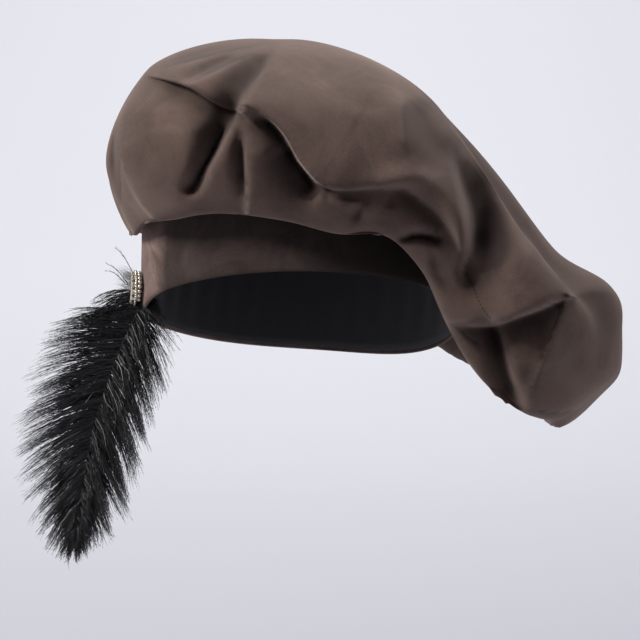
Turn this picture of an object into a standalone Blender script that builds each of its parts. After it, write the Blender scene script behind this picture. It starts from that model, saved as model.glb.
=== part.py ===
"""Tudor beret: a floppy velvet bag gathered to a head band, with a brooch and a plume.

Metres, +Z up. Facing the front, +X is to the right and +Y runs to the back.
The origin is the middle of the band's lower edge, where the head goes in.
"""
import math

import bmesh
import bpy
import numpy as np
from mathutils import Matrix, Vector

# Driving dimensions
MM = 0.001
GAP = 0.3 * MM
CLOTH_WALL = 1.5 * MM
BAND_RADIUS = 93.0 * MM
BAND_HEIGHT = 60.0 * MM
BAND_TILT = math.radians(16.5)
# where the band's ring is fuller or hangs lower: amount, direction and half width in degrees
FULLER_RIGHT = (8 * MM, 30, 32)
FULLER_LEFT = (4.5 * MM, 180, 40)
RING_DROOP = (9 * MM, 42, 34)
LINING_WALL = 1.2 * MM
LINING_SETBACK = 2.0 * MM
APEX = (-12.0 * MM, 12.0 * MM, 161.5 * MM)
UNDERSIDE_SHARE = 0.40
UNDERSIDE_DROP = 0.72
BAND_CLEARANCE = 1.2 * MM
SEAM_RISE = 1.5 * MM
BROOCH_RADIUS = 11.0 * MM
BROOCH_ANGLE = math.radians(191)
BROOCH_HEIGHT = 9.5 * MM
STEM_RADIUS = 1.3 * MM

# The front view that the folds are placed in: a point in front of the hat and a little above it
EYE_DISTANCE = 1.2
EYE_RISE = math.radians(2.5)
EYE_TARGET = np.array([10.2, 0.0, -4.8]) * MM

# How finely the soft pieces are divided
CROWN_MERIDIANS = 150
CROWN_ROWS = 60
CROWN_TRIANGLES = 3700
RING_SEGMENTS = 56
FRONT_CROWDING = 0.45
APEX_CROWDING = 0.045
FOLD_FADE = 0.3
FULLY_FACING = 0.3
HEM_SHARES = (0.08, 0.22)

# Sections of the bag: direction in degrees, then radius and height in mm of its
# lowest edge, its widest rim, its shoulder and its crest
CROWN_SECTIONS = [
    # direction, hem r, hem z, rim r, rim z, shoulder r, shoulder z, crest r, crest z
    (0, 158, -64, 191, -18, 152, 44, 82, 119),
    (30, 148, -50, 180, -2, 150, 60, 80, 128),
    (60, 132, -16, 164, 28, 140, 88, 78, 139),
    (90, 122, 2, 152, 40, 130, 98, 76, 145),
    (120, 114, 24, 142, 58, 124, 107, 76, 147),
    (150, 116, 47, 130, 80, 115, 119, 80, 153),
    (180, 110, 48, 116, 84, 103, 126, 81, 155),
    (210, 107, 50, 121, 90, 111, 125, 79, 153),
    (240, 105, 58, 128, 88, 118, 120, 74, 148),
    (270, 106, 54, 130, 80, 122, 116, 74, 146),
    (300, 112, 42, 142, 62, 134, 102, 80, 142),
    (330, 130, -46, 173, -8, 150, 56, 82, 130),
]

# Folds of the bag. Each runs along a line of places in mm on the view it shows best in.
# Widths are to the line's left and right, height is towards the viewer, power is the
# sharpness of its flanks, and start and end are the shares of height left at its ends.
CROWN_FOLDS = [
    # view, line of (across, up), left, right, height, power, start, end
    # the upper left: the top lobe hangs over a crease and is drawn to a knot
    ("front", [(-95, 144), (-79, 141), (-66, 136.5), (-55, 130), (-47, 125.5), (-36, 122)],
     26, 4, 10, 1.6, 0.7, 0.9),
    ("front", [(-86, 140), (-66, 134.5), (-55, 128), (-45, 122.5), (-38, 120)], 4, 13, -10, 1.6, 0.3, 1),
    ("front", [(-89.5, 146.5), (-62, 153), (-36, 158.5), (-8, 162.5)], 7, 7, 4, 1.5, 0.3, 0.3),
    ("front", [(-66.5, 140), (-52, 146), (-40, 151.5), (-21, 158)], 8, 5, 4.5, 1.5, 0.3, 0.5),
    ("front", [(-19, 156.5), (-26, 144.5), (-32.5, 134.5), (-36, 128)], 4, 14, -15, 1.6, 0.5, 0.8),
    ("front", [(-18.5, 156.5), (-25, 144.5), (-32, 134.5), (-35.5, 128)], 20, 4, 4, 1.3, 0.2, 0.2),
    ("front", [(-36, 125.5), (-32.5, 127), (-29, 126.5)], 4, 4, 4, 2, 0.5, 0.5),
    # the left: two pleats run from the knot to the hem
    ("front", [(-39, 119.5), (-48.5, 101.5), (-57.5, 85), (-62.5, 76)], 4, 12, -20, 1.8, 0.7, 0.6),
    ("front", [(-36.5, 122.5), (-46, 104.5), (-55, 87.5), (-63, 74)], 16, 4, 8, 1.3, 0.8, 0.1),
    ("front", [(-33, 107), (-32, 97), (-32, 79), (-32, 64)], 22, 4, 7, 1.3, 0.5, 0.6),
    ("front", [(-34, 105), (-34, 91), (-33.5, 72)], 4, 9, -12, 1.5, 0.6, 0.3),
    ("front", [(-70, 121), (-70, 97), (-74, 73)], 12, 14, 4, 2, 0.2, 0.2),
    ("front", [(-111.5, 114.5), (-111, 105), (-105.5, 86), (-98.5, 69.5), (-89.5, 57.5)],
     22, 4, 6, 1.4, 0.5, 0.7),
    ("front", [(-110.5, 104), (-109.5, 83.5), (-109, 63)], 6, 4, 3, 1.4, 0.3, 0.6),
    ("front", [(-114, 113.5), (-114.5, 97), (-113.5, 80.5)], 4, 4, -4, 1.6, 0.4, 0.4),
    # the long diagonal that hangs over the hollow above the band
    ("front", [(-24.5, 120), (-12.5, 106), (-3.5, 90), (3.5, 75)], 4, 13, -20, 2, 0.3, 0.9),
    ("front", [(-30, 126), (-14.5, 115), (-6, 105), (-0.5, 94), (6.5, 84.5), (16, 77), (29.5, 76), (46, 77)],
     34, 4, 13, 1.4, 0.4, 0.6),
    ("front", [(-4, 76), (0, 68), (3.5, 66.5), (10, 71.5), (16, 75)], 4, 4, 3, 1.5, 0.3, 0.3),
    ("front", [(16, 75), (25, 74), (35.5, 72.5), (44, 72)], 4, 5, -6, 1.5, 0.7, 0.3),
    # the roll that turns down to the right, and the hollow behind it
    ("front", [(41.5, 77.5), (58, 81), (73, 78.5), (84.5, 69), (92, 56.5), (96, 41.5), (99.5, 25)],
     8, 7, 10, 1.8, 0.3, 0.5),
    ("front", [(41, 76), (57, 74.5), (70, 66), (79, 59), (86.5, 48.5), (93.5, 36), (98, 25)],
     4, 8, -11, 1.5, 0.4, 0.5),
    ("front", [(95.5, 91), (102.5, 76), (108, 58), (108.5, 40), (102.5, 24)], 9, 5, -20, 2, 0.25, 0.6),
    ("front", [(56, 135.5), (59.5, 121), (60.5, 106), (64, 93)], 5, 14, 3.5, 1.6, 0.2, 0.3),
    ("front", [(65.5, 130), (71.5, 115), (80, 100), (92, 86.5)], 9, 9, -6, 2, 0.2, 0.6),
    # the gathered strip above the band, and a small hole at its right end
    ("front", [(41, 65.5), (39, 57), (36, 48.5)], 4, 4, 3, 1.5, 0.4, 0.5),
    ("front", [(31, 63), (30.5, 56.5), (29, 50)], 4, 4, -4, 1.6, 0.4, 0.6),
    ("front", [(53.5, 69), (52, 62.5), (48.5, 56.5)], 4, 4, -4, 1.8, 0.4, 0.4),
    ("front", [(60.5, 44.5), (70, 45.5), (81, 43)], 4, 4, -14, 2, 0.5, 0.7),
    ("front", [(69, 50), (77, 50.5), (83.5, 44)], 4, 4, 2.5, 1.4, 0.4, 0.6),
    ("front", [(77.5, 38), (79, 25), (86.5, 12)], 7, 4, -5, 1.6, 0.4, 0.3),
    # the hanging end on the right: an upper panel whose lip hangs over a lower lobe
    ("front", [(88, -5), (104, -5.5), (115, -4.5), (126.5, 0), (138.5, 4), (149, 8), (158, 11)],
     32, 4, 12, 1.4, 0.4, 0.9),
    ("front", [(100, -8), (115, -8), (130, -2.5), (145, 3.5), (154, 7)], 4, 13, -20, 1.7, 0.4, 0.5),
    ("front", [(157, 11.5), (152, 24.5), (146, 38), (137, 52)], 26, 4, 7, 1.4, 1, 0.2),
    ("front", [(115, -6.5), (121, -20.5), (122.5, -36), (127, -51), (131, -57)], 6, 4, -20, 1.8, 0.8, 0.5),
    ("front", [(156, 8), (150, -10), (143, -30.5), (137, -48)], 26, 4, 7, 1.4, 1, 0.3),
    ("front", [(93.5, -8.5), (101, -16), (108, -20.5)], 4, 4, 3, 1.4, 0.8, 0.3),
    ("front", [(167.5, 20.5), (178, 1), (189, -20.5)], 8, 8, 3, 2, 0.3, 0.4),
    ("front", [(154, 0), (162, -20), (170, -38)], 8, 8, -4, 2, 0.3, 0.3),
    ("front", [(135.5, -59), (149.5, -60), (167.5, -58)], 10, 4, 4, 1.4, 0.5, 0.6),
    # the hanging end's outer corners
    ("right", [(-70, 16), (-30, 17), (20, 16), (60, 14)], 13, 12, 9, 2, 0.3, 0.3),
    ("right", [(-60, -36), (-30, -38), (20, -38), (50, -34)], 12, 9, 4, 2, 0.3, 0.3),
    # the soft sags of the right side, the back, the left side and the top
    ("right", [(-30, 128), (-58, 70), (-52, -10)], 16, 20, -9, 2, 0.2, 0.4),
    ("right", [(34, 132), (22, 66), (-4, 0)], 18, 16, -8, 2, 0.2, 0.5),
    ("right", [(84, 116), (96, 72), (72, 16)], 16, 22, -9, 2, 0.2, 0.4),
    ("back", [(-96, 84), (-52, 66), (-26, 22)], 18, 14, -10, 2, 0.2, 0.6),
    ("back", [(-40, 132), (10, 96), (26, 34)], 20, 16, -9, 2, 0.2, 0.6),
    ("back", [(60, 128), (84, 92), (74, 54)], 14, 16, -8, 2, 0.2, 0.6),
    ("left", [(-66, 116), (-58, 92), (-62, 72)], 12, 14, -6, 2, 0.3, 0.2),
    ("left", [(10, 122), (4, 98), (10, 74)], 10, 12, -6, 2, 0.2, 0.2),
    ("top", [(30, 90), (70, 40), (118, 30)], 22, 18, -8, 2, 0.2, 0.4),
    ("top", [(-70, 70), (-30, 76), (20, 60)], 18, 22, -7, 2, 0.2, 0.3),
]

# Where the folded cloth is gathered into the seam: pleats round, phase, height in mm.
# The gathers leave out the smooth front, and lie between two shares of the bag's length.
CROWN_GATHERS = [(17, 0.4, 1.7), (11, 2.1, 1.3)]
SMOOTH_FRONT = (1.0, 218, 85)
GATHERS_START = (0.02, 0.12)
GATHERS_END = (0.3, 0.5)

# The plume's rib below the brooch, and the barbs along it: the share down the rib, then
# their length in mm and their angle off the rib in degrees on the left and on the right
PLUME_RIB = [
    # x, y, z in mm
    (-100.5, -21.5, -6), (-106, -24, -18), (-113, -27, -36), (-118.6, -29, -53), (-124, -30, -71),
    (-127, -30, -89), (-129.6, -30, -106), (-132, -29, -122), (-134, -28, -136),
]
PLUME_SHAPE = [
    # share, left length, left angle, right length, right angle
    (0.00, 28, 96, 14, 66),
    (0.12, 48, 66, 42, 58),
    (0.30, 58, 52, 47, 50),
    (0.55, 51, 46, 46, 42),
    (0.80, 36, 34, 29, 34),
    (1.00, 13, 10, 13, 8),
]
PLUME_LOCKS = 12
FIRST_LOCK = 0.15
LOCK_WIDTH = 15.0 * MM
LOCK_DEPTH = 8.5 * MM


def material(name, colour, roughness, metallic=0.0):
    made = bpy.data.materials.new(name)
    made.use_nodes = True
    shader = made.node_tree.nodes["Principled BSDF"]
    shader.inputs["Base Color"].default_value = (*colour, 1.0)
    shader.inputs["Roughness"].default_value = roughness
    shader.inputs["Metallic"].default_value = metallic
    return made


def add_object(name, mesh, look, collection):
    made = bpy.data.objects.new(name, mesh)
    mesh.materials.append(look)
    collection.objects.link(made)
    return made


# The band's ring: nearly round, fuller at the back right where the bag's weight pulls it down
def bump(angle, amount, centre, half_width):
    """An amount that fades away on both sides of a direction."""
    away = np.degrees(np.angle(np.exp(1j * (angle - math.radians(centre)))))
    return amount * np.exp(-(away / half_width) ** 2)


def ring(angle, height, out=0.0):
    fuller = bump(angle, *FULLER_RIGHT) + bump(angle, *FULLER_LEFT)
    radius = BAND_RADIUS + out + fuller
    droop = bump(angle, *RING_DROOP) * (1 - height / BAND_HEIGHT)
    x = radius * np.cos(angle)
    y = radius * np.sin(angle)
    z = height - droop
    cos, sin = math.cos(BAND_TILT), math.sin(BAND_TILT)
    return np.stack([x, y * cos + z * sin, z * cos - y * sin], -1)


def clear_of_band(points, clearance):
    """Points moved out of the band's wall and its hollow, straight away from the band's axis."""
    cos, sin = math.cos(BAND_TILT), math.sin(BAND_TILT)
    x = points[:, 0]
    y = points[:, 1] * cos - points[:, 2] * sin
    z = points[:, 2] * cos + points[:, 1] * sin
    angle = np.arctan2(y, x)
    edge = ring(angle, z, clearance)
    least = np.hypot(edge[:, 0], edge[:, 1] * cos - edge[:, 2] * sin)
    radius = np.hypot(x, y)
    push = np.where((z < BAND_HEIGHT + SEAM_RISE) & (radius < least), least / radius, 1.0)
    x, y = x * push, y * push
    return np.stack([x, y * cos + z * sin, z * cos - y * sin], -1)


def mesh_from_meridians(name, grid, apex=None):
    """A mesh of quads round a grid of meridians, closed at the top by an apex if one is given."""
    meridians, rows = grid.shape[:2]
    corners = [tuple(point) for point in grid.reshape(-1, 3)]
    faces = []
    for i in range(meridians):
        here, there = i * rows, (i + 1) % meridians * rows
        for j in range(rows - 1):
            faces.append((here + j, there + j, there + j + 1, here + j + 1))
        if apex is not None:
            faces.append((here + rows - 1, there + rows - 1, meridians * rows))
    if apex is not None:
        corners.append(tuple(apex))
    mesh = bpy.data.meshes.new(name)
    mesh.from_pydata(corners, [], faces)
    mesh.shade_smooth()
    return mesh


def add_wall(made, thickness):
    wall = made.modifiers.new("wall", "SOLIDIFY")
    wall.thickness = thickness
    wall.offset = -1.0
    wall.use_rim = True
    wall.use_quality_normals = True


# The bag: each direction has a meridian through its sections, from the seam out, down, up and over
def round_the_bag(angle, values):
    """Values given every 30 degrees, joined smoothly round the circle."""
    count = len(values)
    turn = (angle / (2 * math.pi) * count) % count
    first = np.floor(turn).astype(int)
    t = turn - first
    values = np.asarray(values, float)
    a, b, c, d = (values[(first + k) % count] for k in (-1, 0, 1, 2))
    return 0.5 * (2 * b + (c - a) * t + (2 * a - 5 * b + 4 * c - d) * t**2 + (3 * b - a - 3 * c + d) * t**3)


def smooth_curves(points, shares):
    """Centripetal curves through rows of points, less the end points, read at shares of their length."""
    gaps = np.linalg.norm(np.diff(points, axis=1), axis=2) ** 0.5
    knots = np.concatenate([np.zeros((len(points), 1)), np.cumsum(gaps, 1)], 1)
    spans = []
    for j in range(1, points.shape[1] - 2):
        t0, t1, t2, t3 = (knots[:, j + k][:, None] for k in (-1, 0, 1, 2))
        p0, p1, p2, p3 = (points[:, j + k][:, None, :] for k in (-1, 0, 1, 2))
        t = t1 + (t2 - t1) * np.linspace(0, 1, 24, endpoint=False)[None, :]

        def mix(a, b, from_t, to_t):
            share = ((t - from_t) / (to_t - from_t))[..., None]
            return a * (1 - share) + b * share

        a1, a2, a3 = mix(p0, p1, t0, t1), mix(p1, p2, t1, t2), mix(p2, p3, t2, t3)
        spans.append(mix(mix(a1, a2, t0, t2), mix(a2, a3, t1, t3), t1, t2))
    spans.append(points[:, -2:-1])
    fine = np.concatenate(spans, 1)
    steps = np.linalg.norm(np.diff(fine, axis=1), axis=2)
    length = np.concatenate([np.zeros((len(fine), 1)), np.cumsum(steps, 1)], 1)
    length /= length[:, -1:]
    curves = np.empty((len(fine), len(shares), fine.shape[2]))
    for i in range(len(fine)):
        for axis in range(fine.shape[2]):
            curves[i, :, axis] = np.interp(shares, length[i], fine[i, :, axis])
    return curves


def plain_bag(angles, shares):
    """The seam on the band, and the bag without its folds, as meridians from beside the seam to the apex."""
    columns = np.array([row[1:] for row in CROWN_SECTIONS], float).T * MM
    hem_r, hem_z, rim_r, rim_z, shoulder_r, shoulder_z, crest_r, crest_z = (
        round_the_bag(angles, column) for column in columns)

    def at(radius, z):
        return np.stack([radius * np.cos(angles), radius * np.sin(angles), z], -1)

    seam = ring(angles, BAND_HEIGHT + GAP, -CLOTH_WALL)
    turn = ring(angles, BAND_HEIGHT + SEAM_RISE, 1.5 * BAND_CLEARANCE)
    turn_r = np.hypot(turn[:, 0], turn[:, 1])
    under = at(turn_r + UNDERSIDE_SHARE * (hem_r - turn_r), turn[:, 2] + UNDERSIDE_DROP * (hem_z - turn[:, 2]))
    beyond_r = round_the_bag(angles + math.pi, columns[6])
    beyond_z = round_the_bag(angles + math.pi, columns[7])
    sections = [
        seam, turn, under, at(hem_r, hem_z), at(rim_r, rim_z), at(shoulder_r, shoulder_z),
        at(crest_r, crest_z), np.broadcast_to(APEX, seam.shape), at(-beyond_r, beyond_z),
    ]
    return seam, smooth_curves(np.stack(sections, 1), shares)


def outward(grid):
    """Directions out of a grid of meridians."""
    round_step = np.roll(grid, -1, 0) - np.roll(grid, 1, 0)
    up_step = np.gradient(grid, axis=1)
    normals = np.cross(round_step, up_step)
    normals /= np.maximum(np.linalg.norm(normals, axis=2, keepdims=True), 1e-12)
    normals[:, -1] = (0, 0, 1)
    return normals


def smoothstep(value, low, high):
    t = np.clip((value - low) / (high - low), 0, 1)
    return t * t * (3 - 2 * t)


def look_at(points, view):
    """Places in mm on a view, and the unit directions from the points to the viewer."""
    if view == "front":
        forward = np.array([0.0, math.cos(EYE_RISE), -math.sin(EYE_RISE)])
        up = np.array([0.0, math.sin(EYE_RISE), math.cos(EYE_RISE)])
        eye = EYE_TARGET - forward * EYE_DISTANCE
        sight = points - eye
        scale = EYE_DISTANCE / (sight @ forward)
        place = np.stack([EYE_TARGET[0] + sight[:, 0] * scale, EYE_TARGET[2] + (sight @ up) * scale], -1)
        return place / MM, -sight / np.linalg.norm(sight, axis=1, keepdims=True)
    across, up, toward = {
        "right": ((0, 1, 0), (0, 0, 1), (1, 0, 0)),
        "back": ((-1, 0, 0), (0, 0, 1), (0, 1, 0)),
        "left": ((0, -1, 0), (0, 0, 1), (-1, 0, 0)),
        "top": ((1, 0, 0), (0, 1, 0), (0, 0, 1)),
    }[view]
    place = np.stack([points @ np.array(across, float), points @ np.array(up, float)], -1)
    return place / MM, np.broadcast_to(np.array(toward, float), points.shape)


def fold_curve(line, pieces):
    """A smooth curve through the places of a fold's line."""
    line = np.array(line, float)
    line = np.concatenate([[2 * line[0] - line[1]], line, [2 * line[-1] - line[-2]]])
    return smooth_curves(line[None], np.linspace(0, 1, pieces + 1))[0]


def fold_height(place, fold, pieces=30):
    """Height in mm of one fold at places on its view."""
    line, left, right, height, power, start, end = fold
    curve = fold_curve(line, pieces)
    nearest = np.full(len(place), 1e9)
    side = np.zeros(len(place))
    along = np.zeros(len(place))
    for i in range(pieces):
        step = curve[i + 1] - curve[i]
        offset = place - curve[i]
        share = np.clip(offset @ step / (step @ step), 0, 1)
        miss = offset - share[:, None] * step
        distance = np.hypot(miss[:, 0], miss[:, 1])
        closer = distance < nearest
        nearest = np.where(closer, distance, nearest)
        turned = (step[0] * miss[:, 1] - step[1] * miss[:, 0]) / (np.linalg.norm(step) * np.maximum(distance, 1e-9))
        side = np.where(closer, turned, side)
        along = np.where(closer, (i + share) / pieces, along)
    # the width changes evenly round the line's ends, from one side's to the other's
    width = right + (left - right) * smoothstep(side, -1, 1)
    fade_in = start + (1 - start) * smoothstep(along, 0, FOLD_FADE)
    fade_out = end + (1 - end) * smoothstep(1 - along, 0, FOLD_FADE)
    return height * fade_in * fade_out * np.exp(-(nearest / width) ** power)


def folded_bag(angles, shares):
    seam, plain = plain_bag(angles, shares)
    points, out = plain.reshape(-1, 3), outward(plain).reshape(-1, 3)
    shift = np.zeros_like(points)
    for view in ("front", "right", "back", "left", "top"):
        place, toward = look_at(points, view)
        facing = smoothstep((out * toward).sum(1), 0.0, FULLY_FACING)
        height = sum(fold_height(place, fold) for fold_view, *fold in CROWN_FOLDS if fold_view == view)
        shift += (facing * height)[:, None] * toward
    round_angle = np.repeat(angles, len(shares))
    share = np.tile(shares, len(angles))
    away_from_front = 1 - bump(round_angle, *SMOOTH_FRONT)
    near_seam = smoothstep(share, *GATHERS_START) * (1 - smoothstep(share, *GATHERS_END))
    for count, phase, depth in CROWN_GATHERS:
        shift += out * (depth * np.sin(count * round_angle + phase) * near_seam * away_from_front)[:, None]
    # the folds run out towards the hem, where the cloth turns under
    shift *= smoothstep(share, *HEM_SHARES)[:, None] * MM
    folded = clear_of_band(points + shift, BAND_CLEARANCE)
    return np.concatenate([seam[:, None], folded.reshape(plain.shape)], 1)


def make_crown(look, collection):
    turn = np.arange(CROWN_MERIDIANS) / CROWN_MERIDIANS * 2 * math.pi
    # meridians stand closer together at the front, where the folds are finest
    angles = turn + FRONT_CROWDING * np.sin(turn - math.radians(90))
    t = np.arange(CROWN_ROWS) / CROWN_ROWS
    shares = t + APEX_CROWDING * np.sin(2 * math.pi * t)
    grid = folded_bag(angles, np.append(shares, 1.0))
    mesh = mesh_from_meridians("crown", grid[:, :-1], apex=grid[0, -1])
    made = add_object("crown", mesh, look, collection)
    # smooth stretches keep few faces, and the rows at the seam keep all of theirs
    away_from_seam = made.vertex_groups.new(name="away from seam")
    rows = grid.shape[1] - 1
    free = [i for i in range(len(mesh.vertices)) if i % rows > 2 or i >= CROWN_MERIDIANS * rows]
    away_from_seam.add(free, 1.0, "REPLACE")
    fewer = made.modifiers.new("fewer faces", "DECIMATE")
    fewer.ratio = CROWN_TRIANGLES / (2 * CROWN_MERIDIANS * rows)
    fewer.vertex_group = "away from seam"
    fewer.vertex_group_factor = 1.0
    fewer.use_collapse_triangulate = True
    add_wall(made, CLOTH_WALL)
    return made


def make_ring_wall(name, low, high, out, wall, look, collection, rows=3):
    angles = np.arange(RING_SEGMENTS) / RING_SEGMENTS * 2 * math.pi
    grid = np.stack([ring(angles, height, out) for height in np.linspace(low, high, rows)], 1)
    made = add_object(name, mesh_from_meridians(name, grid), look, collection)
    add_wall(made, wall)
    return made


# The brooch stands on the band, its face turned a little to the front
def brooch_frame():
    """A matrix with Z out of the band, at the band's outer face behind the brooch."""
    angle = np.array([BROOCH_ANGLE])
    place = Vector(ring(angle, BROOCH_HEIGHT)[0])
    out = (Vector(ring(angle, BROOCH_HEIGHT, 1.0)[0]) - place).normalized()
    up = (Vector(ring(angle, BROOCH_HEIGHT + 1.0)[0]) - place).normalized()
    across = up.cross(out).normalized()
    frame = Matrix((across, out.cross(across), out)).transposed().to_4x4()
    frame.translation = place
    return frame


def cut_stone(mesh, place, radius, height, sides=8):
    """A faceted stone: a girdle of eight, crown facets and a flat table."""
    bmesh.ops.create_cone(mesh, cap_ends=True, segments=sides, radius1=radius, radius2=radius * 0.6,
                          depth=height, matrix=Matrix.Translation(place + Vector((0, 0, height / 2))))


def union(made, other):
    join = made.modifiers.new("join " + other.name, "BOOLEAN")
    join.operation = "UNION"
    join.solver = "EXACT"
    join.object = other


def new_mesh_object(name, shape, collection):
    mesh = bpy.data.meshes.new(name)
    shape.to_mesh(mesh)
    shape.free()
    made = bpy.data.objects.new(name, mesh)
    collection.objects.link(made)
    return made


def make_brooch(look, pin_look, collection, cutters):
    frame = brooch_frame()
    back = 2 * STEM_RADIUS + 2 * GAP
    plate_thickness = 2.2 * MM
    plate = bmesh.new()
    bmesh.ops.create_cone(plate, cap_ends=True, segments=28, radius1=BROOCH_RADIUS, radius2=BROOCH_RADIUS,
                          depth=plate_thickness, matrix=Matrix.Translation((0, 0, back + plate_thickness / 2)))
    brooch = new_mesh_object("brooch", plate, collection)
    brooch.data.materials.append(look)
    brooch.matrix_world = frame
    # stones of the outer ring, the inner ring and the middle, set a little into the plate
    seat = back + plate_thickness - 0.6 * MM
    rings = [(12, 8.3 * MM, 1.9 * MM, 3.0 * MM), (8, 4.6 * MM, 1.35 * MM, 3.0 * MM), (1, 0.0, 2.4 * MM, 3.8 * MM)]
    for number, (count, distance, radius, height) in enumerate(rings):
        stones = bmesh.new()
        for i in range(count):
            turn = 2 * math.pi * (i + 0.5 * number) / count
            place = Vector((distance * math.cos(turn), distance * math.sin(turn), seat))
            cut_stone(stones, place, radius, height)
        stone_ring = new_mesh_object("stone ring %d" % number, stones, cutters)
        stone_ring.matrix_world = frame
        union(brooch, stone_ring)
    pin = bmesh.new()
    reach = back - 2 * GAP
    bmesh.ops.create_cone(pin, cap_ends=True, segments=10, radius1=1.6 * MM, radius2=1.6 * MM, depth=reach,
                          matrix=Matrix.Translation((0, 4.5 * MM, GAP + reach / 2)))
    post = new_mesh_object("brooch_pin", pin, collection)
    post.data.materials.append(pin_look)
    post.matrix_world = frame


# The plume: locks of barbs fused to its rib, which starts behind the brooch
def plume_rib():
    frame = brooch_frame()
    behind = STEM_RADIUS + GAP
    top = [frame @ Vector((0, y * MM, behind)) for y in (9, 1.5, -6, -13)]
    rib = np.concatenate([np.array(top), np.array(PLUME_RIB, float) * MM])
    ends = np.concatenate([rib, [2 * rib[-1] - rib[-2]]])
    return smooth_curves(ends[None], np.linspace(0, 1, 49))[0]


def add_lock(shape, rings):
    """A closed lofted lock through rings of six points each."""
    corners = [[shape.verts.new(point) for point in points] for points in rings]
    for lower, upper in zip(corners, corners[1:]):
        for i in range(6):
            j = (i + 1) % 6
            shape.faces.new((lower[i], lower[j], upper[j], upper[i]))
    shape.faces.new(corners[0][::-1])
    shape.faces.new(corners[-1])


def lock_rings(start, direction, across, length, width, depth):
    """Rings of a flat leaf-shaped lock, curling down toward its tip."""
    rings = []
    sag = 0.12 * length
    normal = direction.cross(across).normalized()
    for share, size in ((0.0, 0.55), (0.45, 1.0), (0.8, 0.7), (1.0, 0.18)):
        middle = start + direction * (length * share) + Vector((0, 0, -sag * share * share))
        ring_points = []
        for i in range(6):
            turn = 2 * math.pi * i / 6
            offset = across * (0.5 * width * size * math.cos(turn)) + normal * (0.5 * depth * size * math.sin(turn))
            ring_points.append(middle + offset)
        rings.append(ring_points)
    return rings


def make_plume(look, collection, cutters):
    rib = plume_rib()
    data = bpy.data.curves.new("rib", "CURVE")
    data.dimensions = "3D"
    data.bevel_depth = STEM_RADIUS
    data.bevel_resolution = 2
    data.use_fill_caps = True
    spline = data.splines.new("POLY")
    stops = rib[::4]
    spline.points.add(len(stops) - 1)
    for point, place in zip(spline.points, stops):
        point.co = (*place, 1.0)
    stem = bpy.data.objects.new("rib", data)
    collection.objects.link(stem)
    bpy.context.view_layer.update()
    mesh = bpy.data.meshes.new_from_object(stem.evaluated_get(bpy.context.evaluated_depsgraph_get()))
    welded = bmesh.new()
    welded.from_mesh(mesh)
    bmesh.ops.remove_doubles(welded, verts=welded.verts, dist=1e-6)
    welded.to_mesh(mesh)
    welded.free()
    bpy.data.objects.remove(stem)
    plume = add_object("plume", mesh, look, collection)
    front = Vector((0, -1, 0))
    shape_table = np.array(PLUME_SHAPE).T
    for side, lengths, spreads in ((-1, shape_table[1], shape_table[2]), (1, shape_table[3], shape_table[4])):
        for number in range(PLUME_LOCKS):
            share = (number + 0.5 + 0.15 * side) / PLUME_LOCKS
            length = np.interp(share, shape_table[0], lengths) * MM
            spread = math.radians(np.interp(share, shape_table[0], spreads))
            index = (FIRST_LOCK + (0.98 - FIRST_LOCK) * share) * (len(rib) - 1)
            low = int(index)
            start = Vector(rib[low]).lerp(Vector(rib[low + 1]), index - low)
            down = (Vector(rib[low + 1]) - Vector(rib[low])).normalized()
            sideways = down.cross(front).normalized() * -side
            lift = 0.09 if number % 2 else -0.07
            direction = down * math.cos(spread) + sideways * math.sin(spread) + front * lift
            direction.normalize()
            across = direction.cross(front).normalized()
            size = min(1.0, length / (30 * MM))
            shape = bmesh.new()
            add_lock(shape, lock_rings(start, direction, across, length, LOCK_WIDTH * size, LOCK_DEPTH * size))
            bmesh.ops.recalc_face_normals(shape, faces=shape.faces)
            lock = new_mesh_object("lock %d %d" % (side, number), shape, cutters)
            union(plume, lock)
    return plume


def build():
    for old in list(bpy.data.objects):
        bpy.data.objects.remove(old)
    parts = bpy.data.collections.new("tudor beret")
    cutters = bpy.data.collections.new("cutters")
    bpy.context.scene.collection.children.link(parts)
    bpy.context.scene.collection.children.link(cutters)
    velvet = material("brown velvet", (0.085, 0.055, 0.046), 0.9)
    band_velvet = material("band velvet", (0.055, 0.034, 0.030), 0.9)
    lining = material("charcoal lining", (0.022, 0.021, 0.025), 0.85)
    silver = material("silver and stones", (0.78, 0.75, 0.70), 0.2, 0.9)
    steel = material("pin steel", (0.5, 0.5, 0.5), 0.4, 1.0)
    feather = material("black plume", (0.012, 0.012, 0.014), 0.7)
    make_crown(velvet, parts)
    make_ring_wall("band", 0.0, BAND_HEIGHT, 0.0, CLOTH_WALL, band_velvet, parts)
    make_ring_wall("band_lining", LINING_SETBACK, BAND_HEIGHT - LINING_SETBACK, -(CLOTH_WALL + GAP),
                   LINING_WALL, lining, parts)
    make_brooch(silver, steel, parts, cutters)
    make_plume(feather, parts, cutters)
    for guide in cutters.objects:
        guide.hide_render = True
        guide.display_type = "WIRE"


build()
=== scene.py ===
import math

import bmesh
import bpy
import numpy as np
from mathutils import Matrix, Vector


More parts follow.
